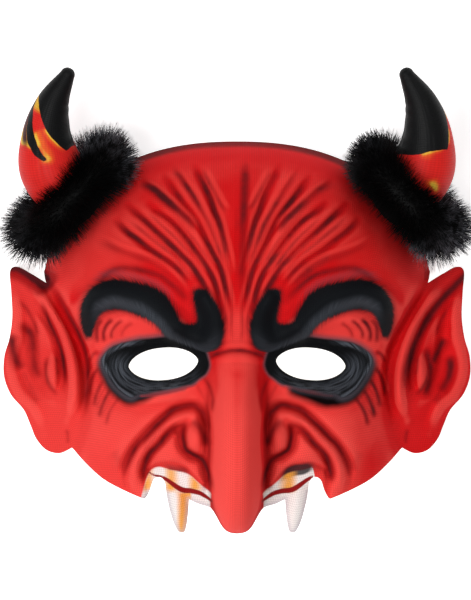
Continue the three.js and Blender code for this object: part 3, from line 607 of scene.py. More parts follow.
front_z = np.maximum(moulded(sheet_x, sheet_y) + fine, 0)
back_z = np.clip(on_grid(back_grid, sheet_x, sheet_y), 0, front_z)
print("front up to", front_z.max().round(1), "mm; sheet", (front_z - back_z).min().round(2), "mm or more")

# %% [markdown]
# ## How far the knit stretches
# The knit was flat when it was printed, so its rows of stitches follow the surface. Adding up the length of
# the surface along each row and column of the grid gives a map in mm of fabric. As a UV map it keeps the
# weave from smearing down the steep sides of the nose.

# %% Millimetres of fabric, and how hollow each place is
step_x = np.hypot(CELL, np.diff(front_grid, axis=1, prepend=front_grid[:, :1]))
step_y = np.hypot(CELL, np.diff(front_grid, axis=0, prepend=front_grid[:1]))
LONGEST = 2.5  # mm of fabric in one cell: on steeper walls the knit stretches
fabric_x = on_grid(np.minimum(step_x, LONGEST).cumsum(1), sheet_x, sheet_y) * np.sign(signed_x)
fabric_y = on_grid(np.minimum(step_y, LONGEST).cumsum(0), sheet_x, sheet_y)


def blurred(grid, cells):
    """The mean over a square, twice, which comes close to a soft blur."""
    for _ in range(2):
        for axis in (0, 1):
            width = [(cells + 1, cells) if k == axis else (0, 0) for k in (0, 1)]
            total = np.pad(grid, width, mode="edge").cumsum(axis)
            size = grid.shape[axis]
            ahead, behind = np.arange(2 * cells + 1, 2 * cells + 1 + size), np.arange(size)
            grid = (np.take(total, ahead, axis) - np.take(total, behind, axis)) / (2 * cells + 1)
    return grid


low_grid = np.maximum(front_grid, -10)
# how hollow each place is: the print layers darken hollows with painted shade and lighten rounded places with
# a painted highlight
hollow = on_grid(blurred(low_grid, 7) - low_grid, sheet_x, sheet_y)
across, up = sheet_x / face_half_width(sheet_y), np.maximum(sheet_y, 0) / FOREHEAD_HEIGHT
dome_reach = (across**SQUARENESS + up**SQUARENESS) ** 0.435
turning_down = smooth((dome_reach - 0.8) / 0.13) * smooth((sheet_y + 5) / 20)
on_ear = 0.75 * smooth((sheet_x - 68) / 6)  # ears get less painted shade, and the crown's turned-down edge gets no painted highlight
hollow = np.where(hollow < 0, hollow * (1 - turning_down), hollow * (1 - on_ear))
hollow *= 1 - 0.6 * hill((sheet_x - 15) / 7) * smooth((-30 - sheet_y) / 10)  # less painted shade at the nose's foot, which stays red
print("fabric", round(float(np.ptp(fabric_x))), "mm wide; at most", hollow.max().round(1), "mm hollow")

# %% [markdown]
# ## Where each colour is printed
# The print has few colours: red, black for brows and sockets, ivory and orange for the teeth, dark red for
# the gum. Each area is stored as millimetres inside its outline. The material turns that into a sharp or a
# soft edge, so the edge stays crisp between vertices, and noise in the material can give it hairs.

# %% Outlines of the print
BROW_UPPER = [(73.6, -18.2), (75.5, -13.8), (76, -8.4), (75, -1.6), (71.4, 4.6), (66.3, 8.1), (59.8, 10),
    (52.9, 9.2), (47.1, 8.1), (41.8, 6.7), (36.9, 4.3), (33.1, 0.7), (29.2, -5.5), (26.8, -10), (24, -11.5),
    (19.9, -11.2), (19, -8.4), (19.9, -3.8), (20.9, 3.1), (19.2, 5), (14.9, 4.8), (11.5, 0.7), (8.9, -3.6),
    (6.3, -11.9), (6.8, -17.6), (7.7, -21), (10.1, -23.7), (14.9, -25.1)]
BROW_LOWER = [(34.4, -17.7), (37.8, -12.9), (41.7, -9.8), (46.6, -7.7), (51.4, -5.8), (56.4, -4.7),
    (60.3, -4.7), (64.3, -5.6), (67.2, -8.6), (69.2, -12.8), (70.8, -17.8)]
SOCKET = [(33.6, -17.2), (41.9, -18.3), (50.7, -19.5), (56.6, -20.8), (62.6, -24), (66.2, -28.9),
    (64.5, -34.3), (60.8, -39.9), (56.5, -44.4), (51, -47.1), (47.2, -45.4), (41.9, -44.7), (32.2, -42.9),
    (24.5, -41.2), (21, -40.3), (17.8, -37.8), (14.8, -35.4), (13.2, -31.6), (13.8, -27.6), (16, -23.5),
    (24, -20)]
TEETH_EDGE = [(46.6, -97), (45.2, -91.5), (43.8, -86.5), (42.1, -82.8), (39.6, -80.8), (36.4, -80.4),
    (32, -81.8), (27.6, -82.4), (23.2, -83.9), (19.8, -86.9), (16, -90.2), (12.5, -92.6)]
GUM = [(43.6, -84.5), (42.4, -83.2), (40.6, -84.3), (36.3, -85.4), (33.6, -86.8), (28.5, -90.3),
    (25.6, -91.6), (21.8, -92), (17.9, -93), (15.5, -94.4), (12.3, -96.5)]

# %% Millimetres inside each printed area
brow = inside_by(sheet_x, sheet_y, np.vstack([curve(BROW_UPPER, 120), curve(BROW_LOWER, 50)]), 6)
socket = inside_by(sheet_x, sheet_y, curve(SOCKET + SOCKET[:1], 120)[:-1], 6)
socket = np.where((socket < 0) & (sheet_x < 24), 2 * socket, socket)  # no grey haze beside the nose
below = np.array([(12.9, -97), (12.9, -116), (46.6, -116)])
teeth = inside_by(sheet_x, sheet_y, np.vstack([curve(TEETH_EDGE, 80), below]), 6)
on_left, on_right = signed_x < 0, signed_x > 0
corner = smooth((sheet_x - np.where(on_right, 36.4, 41)) / 1.5)
teeth = np.where(on_right, teeth - 6 * corner, teeth)  # only the left corner shows a tooth
gum_distance, gum_along, _ = near(sheet_x, sheet_y, GUM, 6)
gum = 0.35 + 0.95 * hill((gum_along - 0.6) / 0.62) - gum_distance - 2.5 * corner * on_right
lip_distance, _, _ = near(sheet_x, sheet_y, TEETH_EDGE[3:], 8)
lip_shade = hill(np.minimum(lip_distance / 5, 1)) * hill((sheet_x - 29) / 12) * np.where(on_right, 1.5, 0.7)
lip_shade *= np.where(on_right, smooth((3.4 - teeth) / 2.2), smooth((0.6 - teeth) / 0.6))
tooth, first_tooth = np.where(on_right, 14.4, 11.6), np.where(on_right, 17.4, 14.4)  # mm
stain = 0.5 - 0.5 * np.cos(2 * np.pi * (sheet_x - first_tooth) / tooth)
fang_stain = smooth((31 - sheet_x) / 5) * smooth((sheet_x - 21.4) / 1.6) * np.where(on_left, 1.1, 0.0)
past_gum = smooth((GUM[5][1] - sheet_y) / 4)
stain = stain * (1 - past_gum) + fang_stain * past_gum
stain *= np.where(on_right, smooth((36 - sheet_x) / 4), 1)
fangs = np.flatnonzero(sheet_y < -84)
tooth_rim = np.zeros(len(sheet_x))
from_edge = inside_by(sheet_x[fangs], sheet_y[fangs], outer_edge, 4)
tooth_rim[fangs] = hill(from_edge / 2.4) * smooth(past_gum[fangs] * 2)

# %% The printed shadow under the eye, painted shade and painted light
bag_lift = np.where(on_left, 1.5 * smooth((54 - sheet_x) / 8), 0)  # mm; on the left it clings to the ring
bag_distance, bag_along, _ = near(sheet_x, sheet_y - bag_lift, BAG_SHADOW, 8)
bag = 2.9 - bag_distance + 2.6 * hill((bag_along - 0.4) / 0.5)
bag -= 4.6 * smooth((50 - sheet_x) / 16) * on_left  # and thins out under the middle of the eye
lid_line = hill(near(sheet_x, sheet_y, CREASES["lid_line"][0], 4)[0] / 1.3) * np.where(on_right, 0.35, 1)
# painted shade: a dark band where the crown turns down to the table, stronger out towards the cuffs
crown = smooth((sheet_y - 10) / 30) * smooth((dome_reach - 0.947) / 0.05)
crown *= 0.8 + 0.2 * smooth((sheet_x - 20) / 30)
# painted highlights on the black print: along the brow's lower half and in rings round the eye, with a grey
# rim on the socket's outer side
lit_brow = 0.85 * hill((brow_over + 4.4) / 4.4) * smooth(brow_along / 0.2)
lit_brow *= smooth((0.84 - brow_along) / 0.14)
lit_socket = 0.8 * hill((eye_distance - 5) / 6) * smooth((-24 - sheet_y) / 8) * smooth((sheet_x - 16) / 10)
outer_rim = 1.3 * hill((socket - 1.2) / 1.7) * smooth((sheet_x - 43) / 9)
lit_socket = np.maximum(lit_socket, outer_rim)
fringe = 0.8 * hill((brow_over - 9.2) / 4.6)
fringe *= smooth((brow_along - 0.16) / 0.1) * smooth((0.56 - brow_along) / 0.12)
eye_round = np.arctan2(sheet_y - EYE["y"], sheet_x - EYE["x"]) * EYE["half_length"]
# painted light: the lower face, the ears' outer parts, the lids, the temples and the nose root are coloured
# lighter
glow = np.maximum(smooth((-16 - sheet_y) / 44), 0.7 * smooth((sheet_x - 86) / 8))
glow *= np.interp(signed_x, [1, 6, 13, 18, 50, 66], [1, 0.2, 0.2, 1, 1, 0.15])  # painted light, stronger on the left
lid = smooth((sheet_x - 32) / 6) * smooth((72 - sheet_x) / 5)
lid *= smooth((-3 - sheet_y) / 4) * smooth((sheet_y + 27) / 5)
temple = smooth((sheet_x - 38) / 16) * smooth((sheet_y + 2) / 10) * smooth((54 - sheet_y) / 18)
nose_root = hill(sheet_x / 12) * smooth((4 - sheet_y) / 16) * smooth((sheet_y + 40) / 10)
glow = np.maximum.reduce([glow, 1.3 * lid, np.where(on_left, 0.55, 0.3) * temple, 0.9 * nose_root])
lit = np.maximum(lit, 0.55 * lid)
paint = {
    "brow": brow, "brow_along": brow_along * brow_length, "brow_over": brow_over, "fringe": fringe,
    "socket": socket, "eye_distance": eye_distance, "eye_round": eye_round, "bag": bag, "lid_line": lid_line,
    "lit_brow": lit_brow, "lit_socket": lit_socket, "teeth": teeth, "tooth_rim": tooth_rim, "stain": stain,
    "gum": gum, "lip_shade": lip_shade, "ink": ink, "haze": haze, "lit": lit, "glow": glow, "crown": crown,
    "hollow": hollow,
}
print(len(paint), "print layers on", len(sheet_x), "points")

# %% [markdown]
# ## One closed sheet
# Front and back share the lattice, so the rim is a strip of faces between their borders. Over the crown
# both meet on the table. There the strip has no height and its points are merged.

# %% Front, back and rim
count = len(sheet_x)
front_points = np.stack([signed_x, sheet_y, front_z], 1) * MM
back_points = np.stack([signed_x, sheet_y, back_z], 1) * MM
edges = np.vstack([triangles[:, [0, 1]], triangles[:, [1, 2]], triangles[:, [2, 0]]])
keys = edges.min(1).astype(np.int64) * count + edges.max(1)
_, first_seen, times = np.unique(keys, return_index=True, return_counts=True)
border = edges[first_seen[times == 1]]
merged = np.zeros(count, bool)
merged[np.unique(border)] = True
MEETING = 0.02  # mm
merged &= front_z - back_z < MEETING
under = np.where(merged, np.arange(count), np.arange(count) + count)
a, b = border.T
walls = np.vstack([np.stack([a, under[a], under[b]], 1), np.stack([a, under[b], b], 1)])
walls = walls[(walls != np.roll(walls, 1, 1)).all(1)]
faces = np.vstack([triangles, under[triangles[:, ::-1]], walls])
wall_x, wall_y = sheet_x[walls[:, 0]], sheet_y[walls[:, 0]]
PRINT, LINING, FOAM = 0, 1, 2  # the order of the face's materials
in_notch = (wall_x > 84) & (wall_x < 103) & (wall_y > 0) & (wall_y < 22)  # between ear and temple
finish_of_face = np.repeat([PRINT, LINING], len(triangles))
finish_of_face = np.append(finish_of_face, np.where(in_notch, PRINT, FOAM))  # there the print goes round
points = np.vstack([front_points, back_points])
live = np.unique(faces)
renumber = np.full(len(points), -1)
renumber[live] = np.arange(len(live))


# %% [markdown]
# Blender takes a whole array of points or faces in one call, which is much faster than adding them one by
# one. Each vertex also keeps the print's values and its place on the flat fabric.

# %% Meshes from arrays
def new_mesh(name, points, faces, material_numbers=None):
    """A mesh object from arrays of points in metres and of triangles or quads."""
    mesh = bpy.data.meshes.new(name)
    mesh.vertices.add(len(points))
    mesh.vertices.foreach_set("co", np.asarray(points, np.float32).ravel())
    sides = faces.shape[1]
    mesh.loops.add(faces.size)
    mesh.loops.foreach_set("vertex_index", faces.astype(np.int32).ravel())
    mesh.polygons.add(len(faces))
    mesh.polygons.foreach_set("loop_start", np.arange(0, faces.size, sides, dtype=np.int32))
    if material_numbers is not None:
        mesh.polygons.foreach_set("material_index", np.asarray(material_numbers, np.int32))
    mesh.update(calc_edges=True)
    mesh.shade_smooth()
    piece = bpy.data.objects.new(name, mesh)
    bpy.context.scene.collection.objects.link(piece)
    return piece


def store(piece, name, values, kind="FLOAT"):
    """Keeps one value for each vertex under a name that materials and nodes can read."""
    kept_as = "vector" if kind == "FLOAT_VECTOR" else "value"
    numbers = np.asarray(values, np.float32).ravel()
    piece.data.attributes.new(name, kind, "POINT").data.foreach_set(kept_as, numbers)


UV_PER_MM = 0.01


def lay_fabric(piece, fabric):
    """Stores each vertex's place on the flat fabric, in mm, as a UV map."""
    mesh = piece.data
    corners = np.zeros(len(mesh.loops), np.int32)
    mesh.loops.foreach_get("vertex_index", corners)
    uv = mesh.uv_layers.new(name="fabric_mm")
    uv.data.foreach_set("uv", (fabric[corners] * UV_PER_MM).astype(np.float32).ravel())


# %% Build the face sheet
face = new_mesh("mask_face", points[live], renumber[faces], finish_of_face)
for name, values in paint.items():
    store(face, name, np.concatenate([values, values])[live])
lay_fabric(face, np.tile(np.stack([fabric_x, fabric_y], 1), (2, 1))[live])
CREASE_ANGLE = np.radians(58)  # corners beyond it, such as the cut edge, aren't smoothed
face.data.set_sharp_from_angle(angle=CREASE_ANGLE)
print("face sheet:", len(face.data.polygons), "triangles")

# %% [markdown]
# ## Adding nodes
# Materials and Geometry Nodes are both trees of nodes, so one small function serves both. Colours are
# written as the hex codes that a picture editor shows and turned into the linear numbers that a shader
# needs.

# %% Colours and nodes
def linear(code):
    """A hex colour as linear red, green, blue and 1."""
    channels = [int(code[i:i + 2], 16) / 255 for i in (1, 3, 5)]
    return (*[c / 12.92 if c <= 0.04045 else ((c + 0.055) / 1.055) ** 2.4 for c in channels], 1)


def add_node(tree, kind, inputs=None, **settings):
    """Adds a node. settings are its own properties. inputs gives a value, or another node's output, for a
    socket's name or number."""
    node = tree.nodes.new(kind)
    for name, value in settings.items():
        setattr(node, name, value)
    for socket, value in (inputs or {}).items():
        if isinstance(value, bpy.types.NodeSocket):
            tree.links.new(value, node.inputs[socket])
        else:
            node.inputs[socket].default_value = value
    return node


# %% Sums, soft edges, layers and noise
def maths(tree, operation, *values, kind="Math"):
    """The result of a sum. values are numbers or other nodes' outputs."""
    return add_node(tree, "ShaderNode" + kind, dict(enumerate(values)), operation=operation).outputs[0]


def fade(tree, value, start, end, low=0.0, high=1.0, soft=True):
    """Turns start to end into low to high and stays level beyond them. A soft one starts and ends gently."""
    if start > end:
        start, end, low, high = end, start, high, low
    sockets = {"Value": value, "From Min": start, "From Max": end, "To Min": low, "To Max": high}
    easing = "SMOOTHSTEP" if soft else "LINEAR"
    return add_node(tree, "ShaderNodeMapRange", sockets, interpolation_type=easing).outputs["Result"]


def mix(tree, share, under, over, blend="MIX"):
    """Lays one colour over another. Colours are hex codes or other nodes' outputs."""
    under, over = [linear(c) if isinstance(c, str) else c for c in (under, over)]
    sockets = {0: share, 6: under, 7: over}
    return add_node(tree, "ShaderNodeMix", sockets, data_type="RGBA", blend_type=blend).outputs[2]


def stored(tree, name):
    """A value that was stored on the mesh."""
    return add_node(tree, "ShaderNodeAttribute", attribute_name=name).outputs["Fac"]


def noise(tree, place, scale, detail, output="Fac"):
    sockets = {"Vector": place, "Scale": scale, "Detail": detail}
    return add_node(tree, "ShaderNodeTexNoise", sockets).outputs[output]


# %% The start and the end of a material
def start_material(name, **surface):
    """A new material, its tree, its shader and the place of each point. surface sets the shader's sockets."""
    material = bpy.data.materials.new(name)
    material.use_nodes = True
    tree = material.node_tree
    shader = tree.nodes["Principled BSDF"]
    for socket, value in surface.items():
        shader.inputs[socket.replace("_", " ").title().replace("Ior", "IOR")].default_value = value
    return material, tree, shader, add_node(tree, "ShaderNodeTexCoord").outputs["Object"]


def link_surface(tree, shader, colour, roughness=None, height=None, strength=0.35, depth=0.08):
    """Gives the shader its colour, its roughness and a bump that is depth mm high."""
    tree.links.new(colour, shader.inputs["Base Color"])
    if roughness is not None:
        tree.links.new(roughness, shader.inputs["Roughness"])
    if height is not None:
        sockets = {"Height": height, "Strength": strength, "Distance": depth * MM}
        bump = add_node(tree, "ShaderNodeBump", sockets)
        tree.links.new(bump.outputs[0], shader.inputs["Normal"])


# %% [markdown]
# ## Printed polyester knit
# Sublimation drives the ink into the yarn, so the print has no gloss of its own. What the eye gets is a
# soft, matt cloth with fine rows of stitches and airbrushed edges. Black areas of the print look slightly
# smoother, since they hold the most ink.
#
# The layers are listed from the bottom up. Each takes one of the stored areas, a soft edge from one value
# to another, some noise that roughens that edge, and a colour.

# %% The print
RED, DEEP_RED, BROW_BLACK, SOCKET_BLACK, TOOTH_IVORY = "#DA1A1E", "#CE0F13", "#131518", "#0F1012", "#F1E8E4"
knit, tree, shader, place = start_material("sublimation_printed_knit", specular_ior_level=0.03)
grain, cloud, broad = noise(tree, place, 900, 3), noise(tree, place, 90, 4), noise(tree, place, 22, 2)
over_brow = stored(tree, "brow_over")
hair_place = add_node(tree, "ShaderNodeCombineXYZ", {
    "X": maths(tree, "ADD", stored(tree, "brow_along"), over_brow),
    "Y": maths(tree, "MULTIPLY", over_brow, 0.09)}).outputs[0]
hairs = noise(tree, hair_place, 2.1, 3)
LAYERS = [  # area, edge from, to, noise, its strength, strength of the layer, colour
    # painted light on the lower face, ears, lids, temples and nose root
    ("glow", 0.0, 1.0, cloud, 0.2, 0.6, "#F24C46"),
    # painted shade in the hollows of the form
    ("hollow", 0.2, 1.8, cloud, 0.4, 0.6, "#9A0B0F"),
    # painted highlight on its rounded places
    ("hollow", -0.05, -1.1, cloud, -0.5, 0.55, "#F5534C"),
    # printed halo round the ink lines, and painted shade beside the forehead's folds
    ("haze", 0.05, 1.1, cloud, 0.4, 0.85, "#980B0F"),
    # painted highlight on the swells beside the creases and on the lids
    ("lit", 0.1, 1.0, cloud, 0.5, 0.5, "#F2403B"),
    ("ink", 0.1, 1.0, cloud, 0.6, 0.8, "#721319"),
    ("ink", 0.5, 1.15, cloud, 1.2, 0.68, "#34181B"),
    # painted shade along the crown's edge
    ("crown", 0.1, 1.0, cloud, 0.25, 0.9, "#5A0408"),
    ("bag", -2.0, 2.6, cloud, 1.4, 1.0, "#0A0506"),
    ("lid_line", 0.1, 0.9, cloud, 0.3, 0.75, "#B8262A"),
    ("fringe", 0.1, 1.0, hairs, 1.4, 0.55, "#8E3A42"),
    ("brow", -3.0, 0.6, hairs, 3.4, 0.65, "#3A1418"),
    ("socket", -3.4, 0.8, cloud, 1.4, 0.85, "#4E4850"),
    ("brow", -0.9, 0.7, hairs, 3.4, 1.0, BROW_BLACK),
    ("socket", -0.6, 1.0, cloud, 0.8, 1.0, SOCKET_BLACK),
    ("teeth", -0.5, 0.6, cloud, 0.6, 1.0, TOOTH_IVORY),
    ("lip_shade", 0.1, 0.9, cloud, 0.5, 0.92, "#2C272B"),
]
colour = mix(tree, fade(tree, broad, 0.35, 0.65, soft=False), DEEP_RED, RED)
masks = {}
for area, start, end, pattern, ragged, strength, code in LAYERS:
    centred = maths(tree, "SUBTRACT", pattern, 0.5)
    rough = maths(tree, "MULTIPLY_ADD", centred, ragged, stored(tree, area))
    masks[code] = fade(tree, rough, start, end, 0, strength)
    colour = mix(tree, masks[code], colour, code)

# %% [markdown]
# The teeth get their orange stain, a greyer rim and the gum line on top. The black areas get a painted
# highlight in a lighter grey: strokes across the brow and rings round the eye.

# %% Stains, gum and the painted highlights
stain_rough = maths(tree, "MULTIPLY_ADD", cloud, 0.7, stored(tree, "stain"))
stain_mask = fade(tree, stain_rough, 0.5, 1.35, 0, 0.95, soft=False)
colour = mix(tree, maths(tree, "MULTIPLY", stain_mask, masks[TOOTH_IVORY]), colour, "#F2A440")
rim_mask = maths(tree, "MULTIPLY", stored(tree, "tooth_rim"), masks[TOOTH_IVORY])
colour = mix(tree, maths(tree, "MULTIPLY", rim_mask, 0.6), colour, "#C9BCC4")
colour = mix(tree, fade(tree, stored(tree, "gum"), -0.25, 0.3), colour, "#8E1A1C")
stroke_place = add_node(tree, "ShaderNodeCombineXYZ", {
    "X": stored(tree, "eye_distance"),
    "Y": maths(tree, "MULTIPLY", stored(tree, "eye_round"), 0.12)}).outputs[0]
strokes = fade(tree, noise(tree, stroke_place, 0.9, 3), 0.36, 0.62, 0.15, 1)
for area, black, pattern in (("lit_brow", BROW_BLACK, hairs), ("lit_socket", SOCKET_BLACK, strokes)):
    lit_mask = maths(tree, "MULTIPLY", stored(tree, area), masks[black])
    colour = mix(tree, maths(tree, "MULTIPLY", lit_mask, pattern), colour, "#50545C")

# %% [markdown]
# The stitches come from the fabric map: one wave across the rows and one, slightly weaker, across the
# columns. They darken the yarn's gaps a little and raise a bump of a few hundredths of a millimetre.

# %% Stitches, roughness and bump
STITCH_MM = 1.15  # real rows are 0.7 mm apart: drawn coarser, because they would vanish in the picture


def fabric_map(tree):
    return add_node(tree, "ShaderNodeUVMap", uv_map="fabric_mm").outputs[0]


def stitches(tree, columns_share):
    """A wave across the rows of stitches, and another, times columns_share, across their columns."""
    split = add_node(tree, "ShaderNodeSeparateXYZ", {0: fabric_map(tree)}).outputs
    turns = 2 * np.pi / (STITCH_MM * UV_PER_MM)
    down, across = [maths(tree, "SINE", maths(tree, "MULTIPLY", split[axis], turns)) for axis in ("Y", "X")]
    return maths(tree, "MULTIPLY_ADD", across, columns_share, down)


stitch = maths(tree, "MULTIPLY_ADD", grain, 0.9, stitches(tree, 0.9))
gap = fade(tree, stitch, -1.5, 2.3, 0.82, 1.1, soft=False)
black = maths(tree, "MAXIMUM", masks[BROW_BLACK], masks[SOCKET_BLACK])
matt = maths(tree, "MULTIPLY_ADD", grain, 0.12, fade(tree, black, 0, 1, 0.7, 0.5, soft=False))
link_surface(tree, shader, mix(tree, 1.0, colour, gap, "MULTIPLY"), matt, stitch)

# %% [markdown]
# ## Lining and cut foam
# The back is a plain white polyester lining, pressed into every hollow and dented a little by the tool. The
# rim is the cut through the foam: pale, soft and full of tiny open cells.

# %% The lining and the rim
lining, tree, shader, place = start_material("white_polyester_lining", sheen_weight=0.1)
weave = add_node(tree, "ShaderNodeTexWave", {"Vector": fabric_map(tree), "Scale": 14, "Distortion": 0.6,
                                             "Detail": 1}).outputs["Fac"]
soil = noise(tree, place, 35, 4)
matt = maths(tree, "MULTIPLY_ADD", soil, 0.2, 0.72)
link_surface(tree, shader, mix(tree, soil, "#DEDAD3", "#F1EEE9"), matt, weave, 0.3, 0.1)

foam, tree, shader, place = start_material("cut_foam_edge", roughness=0.85)
cells = add_node(tree, "ShaderNodeTexVoronoi", {"Vector": place, "Scale": 2600}).outputs["Distance"]
link_surface(tree, shader, mix(tree, cells, "#B9AFA8", "#E9E4DD"), None, cells, 0.5, 0.15)

for material in (knit, lining, foam):
    face.data.materials.append(material)
print("the print has", len(LAYERS), "layers; the face has", len(face.data.materials), "materials")

# %% [markdown]
# ## The horns
# Each horn is a curved cone of the same printed knit, sewn closed and stuffed. A loft makes it: circles
# along a bent centre line, with a radius that first swells and then thins to a blunt tip. The foot follows
# the forehead, because each line of the loft starts where it leaves the face sheet.

# %% The centre line
HORN_PATH = [(68, 42, 27), (80.6, 51.2, 36.4), (90.2, 64, 43), (92.4, 79.6, 48), (89.2, 95.2, 53),
    (81.9, 108.8, 57)]
HORN_RADII = [7, 14, 15.8, 12.3, 8.1, 3.6]
FIT_GAP = 0.3  # mm
TIP = 0.06  # how far past t = 1 the blunt tip closes
OUTWARD = np.array([0.93, -0.28, -0.25])  # the outer side of the bend


def spaced_curve(points, t):
    """A smooth curve whose bends don't depend on how far apart its points are, at places t from 0 to 1."""
    p = np.asarray(points, float)
    p = np.vstack([2 * p[0] - p[1], p, 2 * p[-1] - p[-2]])
    last = len(points) - 1
    at = np.clip(t, 0, 1) * last
    i = np.minimum(at.astype(int), last - 1)
    w = (at - i)[:, None]
    a, b, c, d = p[i], p[i + 1], p[i + 2], p[i + 3]
    ab, bc, cd = [np.sqrt(np.linalg.norm(v - u, axis=1))[:, None] for u, v in ((a, b), (b, c), (c, d))]
    leave = ((b - a) / ab - (c - a) / (ab + bc) + (c - b) / bc) * bc
    arrive = ((c - b) / bc - (d - b) / (bc + cd) + (d - c) / cd) * bc
    return bend(b, c, leave, arrive, w)


def unit(vectors):
    return vectors / np.linalg.norm(vectors, axis=-1, keepdims=True)


# %% The skin, and where it leaves the face
def horn_skin(t, angle):
    """Points of the horn's skin, at places t along it and angles round it, 0 facing out of the bend."""
    body = np.minimum(t, 1)
    centre = spaced_curve(HORN_PATH, body)
    after, before = np.minimum(body + 1e-3, 1), np.minimum(body, 0.999) - 1e-3
    ahead = unit(spaced_curve(HORN_PATH, after) - spaced_curve(HORN_PATH, before))
    out = unit(OUTWARD - (ahead @ OUTWARD)[:, None] * ahead)
    side = np.cross(ahead, out)
    radii = curve([(i, r) for i, r in enumerate(HORN_RADII)], 400)
    radius = np.interp(body * (len(HORN_RADII) - 1), radii[:, 0], radii[:, 1])
    lift = np.clip((t - 1) / TIP, 0, 0.999)
    radius = radius * np.sqrt(1 - lift**2)
    centre = centre + ahead * (lift * HORN_RADII[-1])[:, None]
    return centre + radius[:, None] * (np.cos(angle)[:, None] * out + np.sin(angle)[:, None] * side)


def above_face(points):
    """How far points in mm lie above the front of the sheet, measured upright."""
    return points[:, 2] - on_grid(front_grid, np.abs(points[:, 0]), points[:, 1])


AROUND, ALONG = 84, 150  # points of the loft
angles = np.linspace(0, 2 * np.pi, AROUND, endpoint=False)
tries = np.linspace(0, 0.6, 241)
starts = []
for angle in angles:
    under_sheet = above_face(horn_skin(tries, np.full(len(tries), angle))) < FIT_GAP
    starts.append(tries[np.flatnonzero(under_sheet)[-1] + 1] if under_sheet.any() else 0.0)
starts = np.array(starts)
print("the horn leaves the face from", starts.min().round(2), "to", starts.max().round(2), "of its length")

# %% [markdown]
# The seam pulls a shallow groove into the inner side of the bend, and the cloth wrinkles faintly there.
# Both are small changes of the radius.

# %% Loft the horns
share = np.linspace(0, 1, ALONG)
t_all = (starts[None, :] + (1 + TIP - starts[None, :]) * share[:, None]).ravel()
angle_all = np.tile(angles, ALONG)
skin = horn_skin(t_all, angle_all)
middle = spaced_curve(HORN_PATH, np.minimum(t_all, 1))
outwards = unit(skin - middle + 1e-9)
inner = hill((np.abs(angle_all - np.pi)) / 0.9)
seam = hill(np.abs(angle_all - np.pi) / 0.16)
wrinkle = 0.1 * inner * np.sin(t_all * 74 + 1.3 * np.sin(t_all * 23)) * smooth((0.93 - t_all) / 0.1)
skin = skin + outwards * (wrinkle - 0.28 * seam * smooth((1.0 - t_all) / 0.05))[:, None]

ring_index = np.arange(ALONG * AROUND).reshape(ALONG, AROUND)
following = np.roll(ring_index, -1, axis=1)
quads = np.stack([ring_index[:-1], following[:-1], following[1:], ring_index[1:]], -1).reshape(-1, 4)
tip = len(skin)
FOOT_RINGS = 8
foot_edge = skin[:AROUND]
foot_middle = foot_edge.mean(0)
shrinking = [1 - (k + 1) / FOOT_RINGS for k in range(FOOT_RINGS - 1)]
foot = np.vstack([foot_middle + (foot_edge - foot_middle) * left for left in shrinking] + [foot_middle[None]])
foot[:, 2] = on_grid(front_grid, foot[:, 0], foot[:, 1]) + FIT_GAP
# %% Join the foot, the skin and the tip
horn_points = np.vstack([skin, [skin[-AROUND:].mean(0)], foot])
horn_faces = [quads[:, :3], quads[:, [0, 2, 3]]]
last_ring, next_last = ring_index[-1], following[-1]
horn_faces.append(np.stack([last_ring, next_last, np.full(AROUND, tip)], 1))
previous = ring_index[0]
for k in range(FOOT_RINGS - 1):
    this = tip + 1 + k * AROUND + np.arange(AROUND)
    horn_faces += [np.stack([previous, this, np.roll(this, -1)], 1),
                   np.stack([previous, np.roll(this, -1), np.roll(previous, -1)], 1)]
    previous = this
foot_centre = np.full(AROUND, tip + 1 + (FOOT_RINGS - 1) * AROUND)
horn_faces.append(np.stack([previous, foot_centre, np.roll(previous, -1)], 1))
horn_faces = np.vstack(horn_faces)

# %% [markdown]
# ## The flame print of the horns
# Black comes down from the tip. From the foot, flames rise in tongues of different heights, red inside,
# with patches of orange and of yellow near their borders. A tongue is a pointed hill round the horn. The
# stored value is how far below its tongue's top a point lies.

# %% Tongues, curls and embers
FLAME_BASE = 0.44  # of the horn's length
HORN_CLOTH, MM_PER_RADIAN = 105, 11  # mm of cloth along a horn, and round it
TONGUES = {  # angle round the horn, half width in radians, height above the base
    "left": [(-0.35, 2.6, 0.38), (-2.9, 1.1, 0.11), (1.6, 0.9, 0.3), (2.6, 0.6, 0.2)],
    "right": [(-0.1, 1.15, 0.3), (-1.2, 2.3, 0.115), (1.3, 0.8, 0.18), (2.3, 0.8, 0.12)],
}
CURLS = {  # black curls inside the red: millimetres round and along the horn, half a width at their middle
    "left": [([(-3, 84), (-6, 77), (-10, 69), (-14, 60), (-18.5, 53)], 2.4)],
    "right": [([(4, 62), (8, 55), (7, 48)], 1.4)],
}
EMBERS = {
    "left": [([(-4, 70), (-6, 62), (-6, 54)], 2.4), ([(-22, 49), (-20, 45), (-21, 41)], 1.4)],
    "right": [([(-3, 46), (-1.5, 40), (-3, 34)], 2.0), ([(-15, 47), (-15, 43), (-13, 39)], 1.2)],
}


# %% How far inside a flame each point lies
def turned(angle, middle):
    """Angle from a middle, between minus and plus half a turn."""
    return (angle - middle + np.pi) % (2 * np.pi) - np.pi


def flames(t, angle, side):
    rise = np.zeros(len(t))
    for middle, half, height in TONGUES[side]:
        rise = np.maximum(rise, height * np.clip(1 - (np.abs(turned(angle, middle)) / half) ** 1.5, 0, 1))
    burning = FLAME_BASE + rise - t
    round_mm, along_mm = turned(angle, 0) * MM_PER_RADIAN, t * HORN_CLOTH
    char = np.zeros(len(t))
    for path, half in CURLS[side]:
        distance, share, turn_side = near(round_mm, along_mm, path, 12)
        outside = distance - half * np.sqrt(hill(share * 1.6 - 0.8) + 0.01)
        burning = np.minimum(burning, outside / HORN_CLOTH)
        beside = hill((distance - half - 1.5) / 5) * (turn_side > 0) * smooth((0.86 - share) / 0.3)
        char = np.maximum(char, beside)
    for path, half in EMBERS[side]:
        distance, share, _ = near(round_mm, along_mm, path, 12)
        ember = np.maximum(0.006, (distance - half * hill(share * 2 - 1)) / HORN_CLOTH * 1.6)
        burning = np.minimum(burning, ember)
    return burning, char


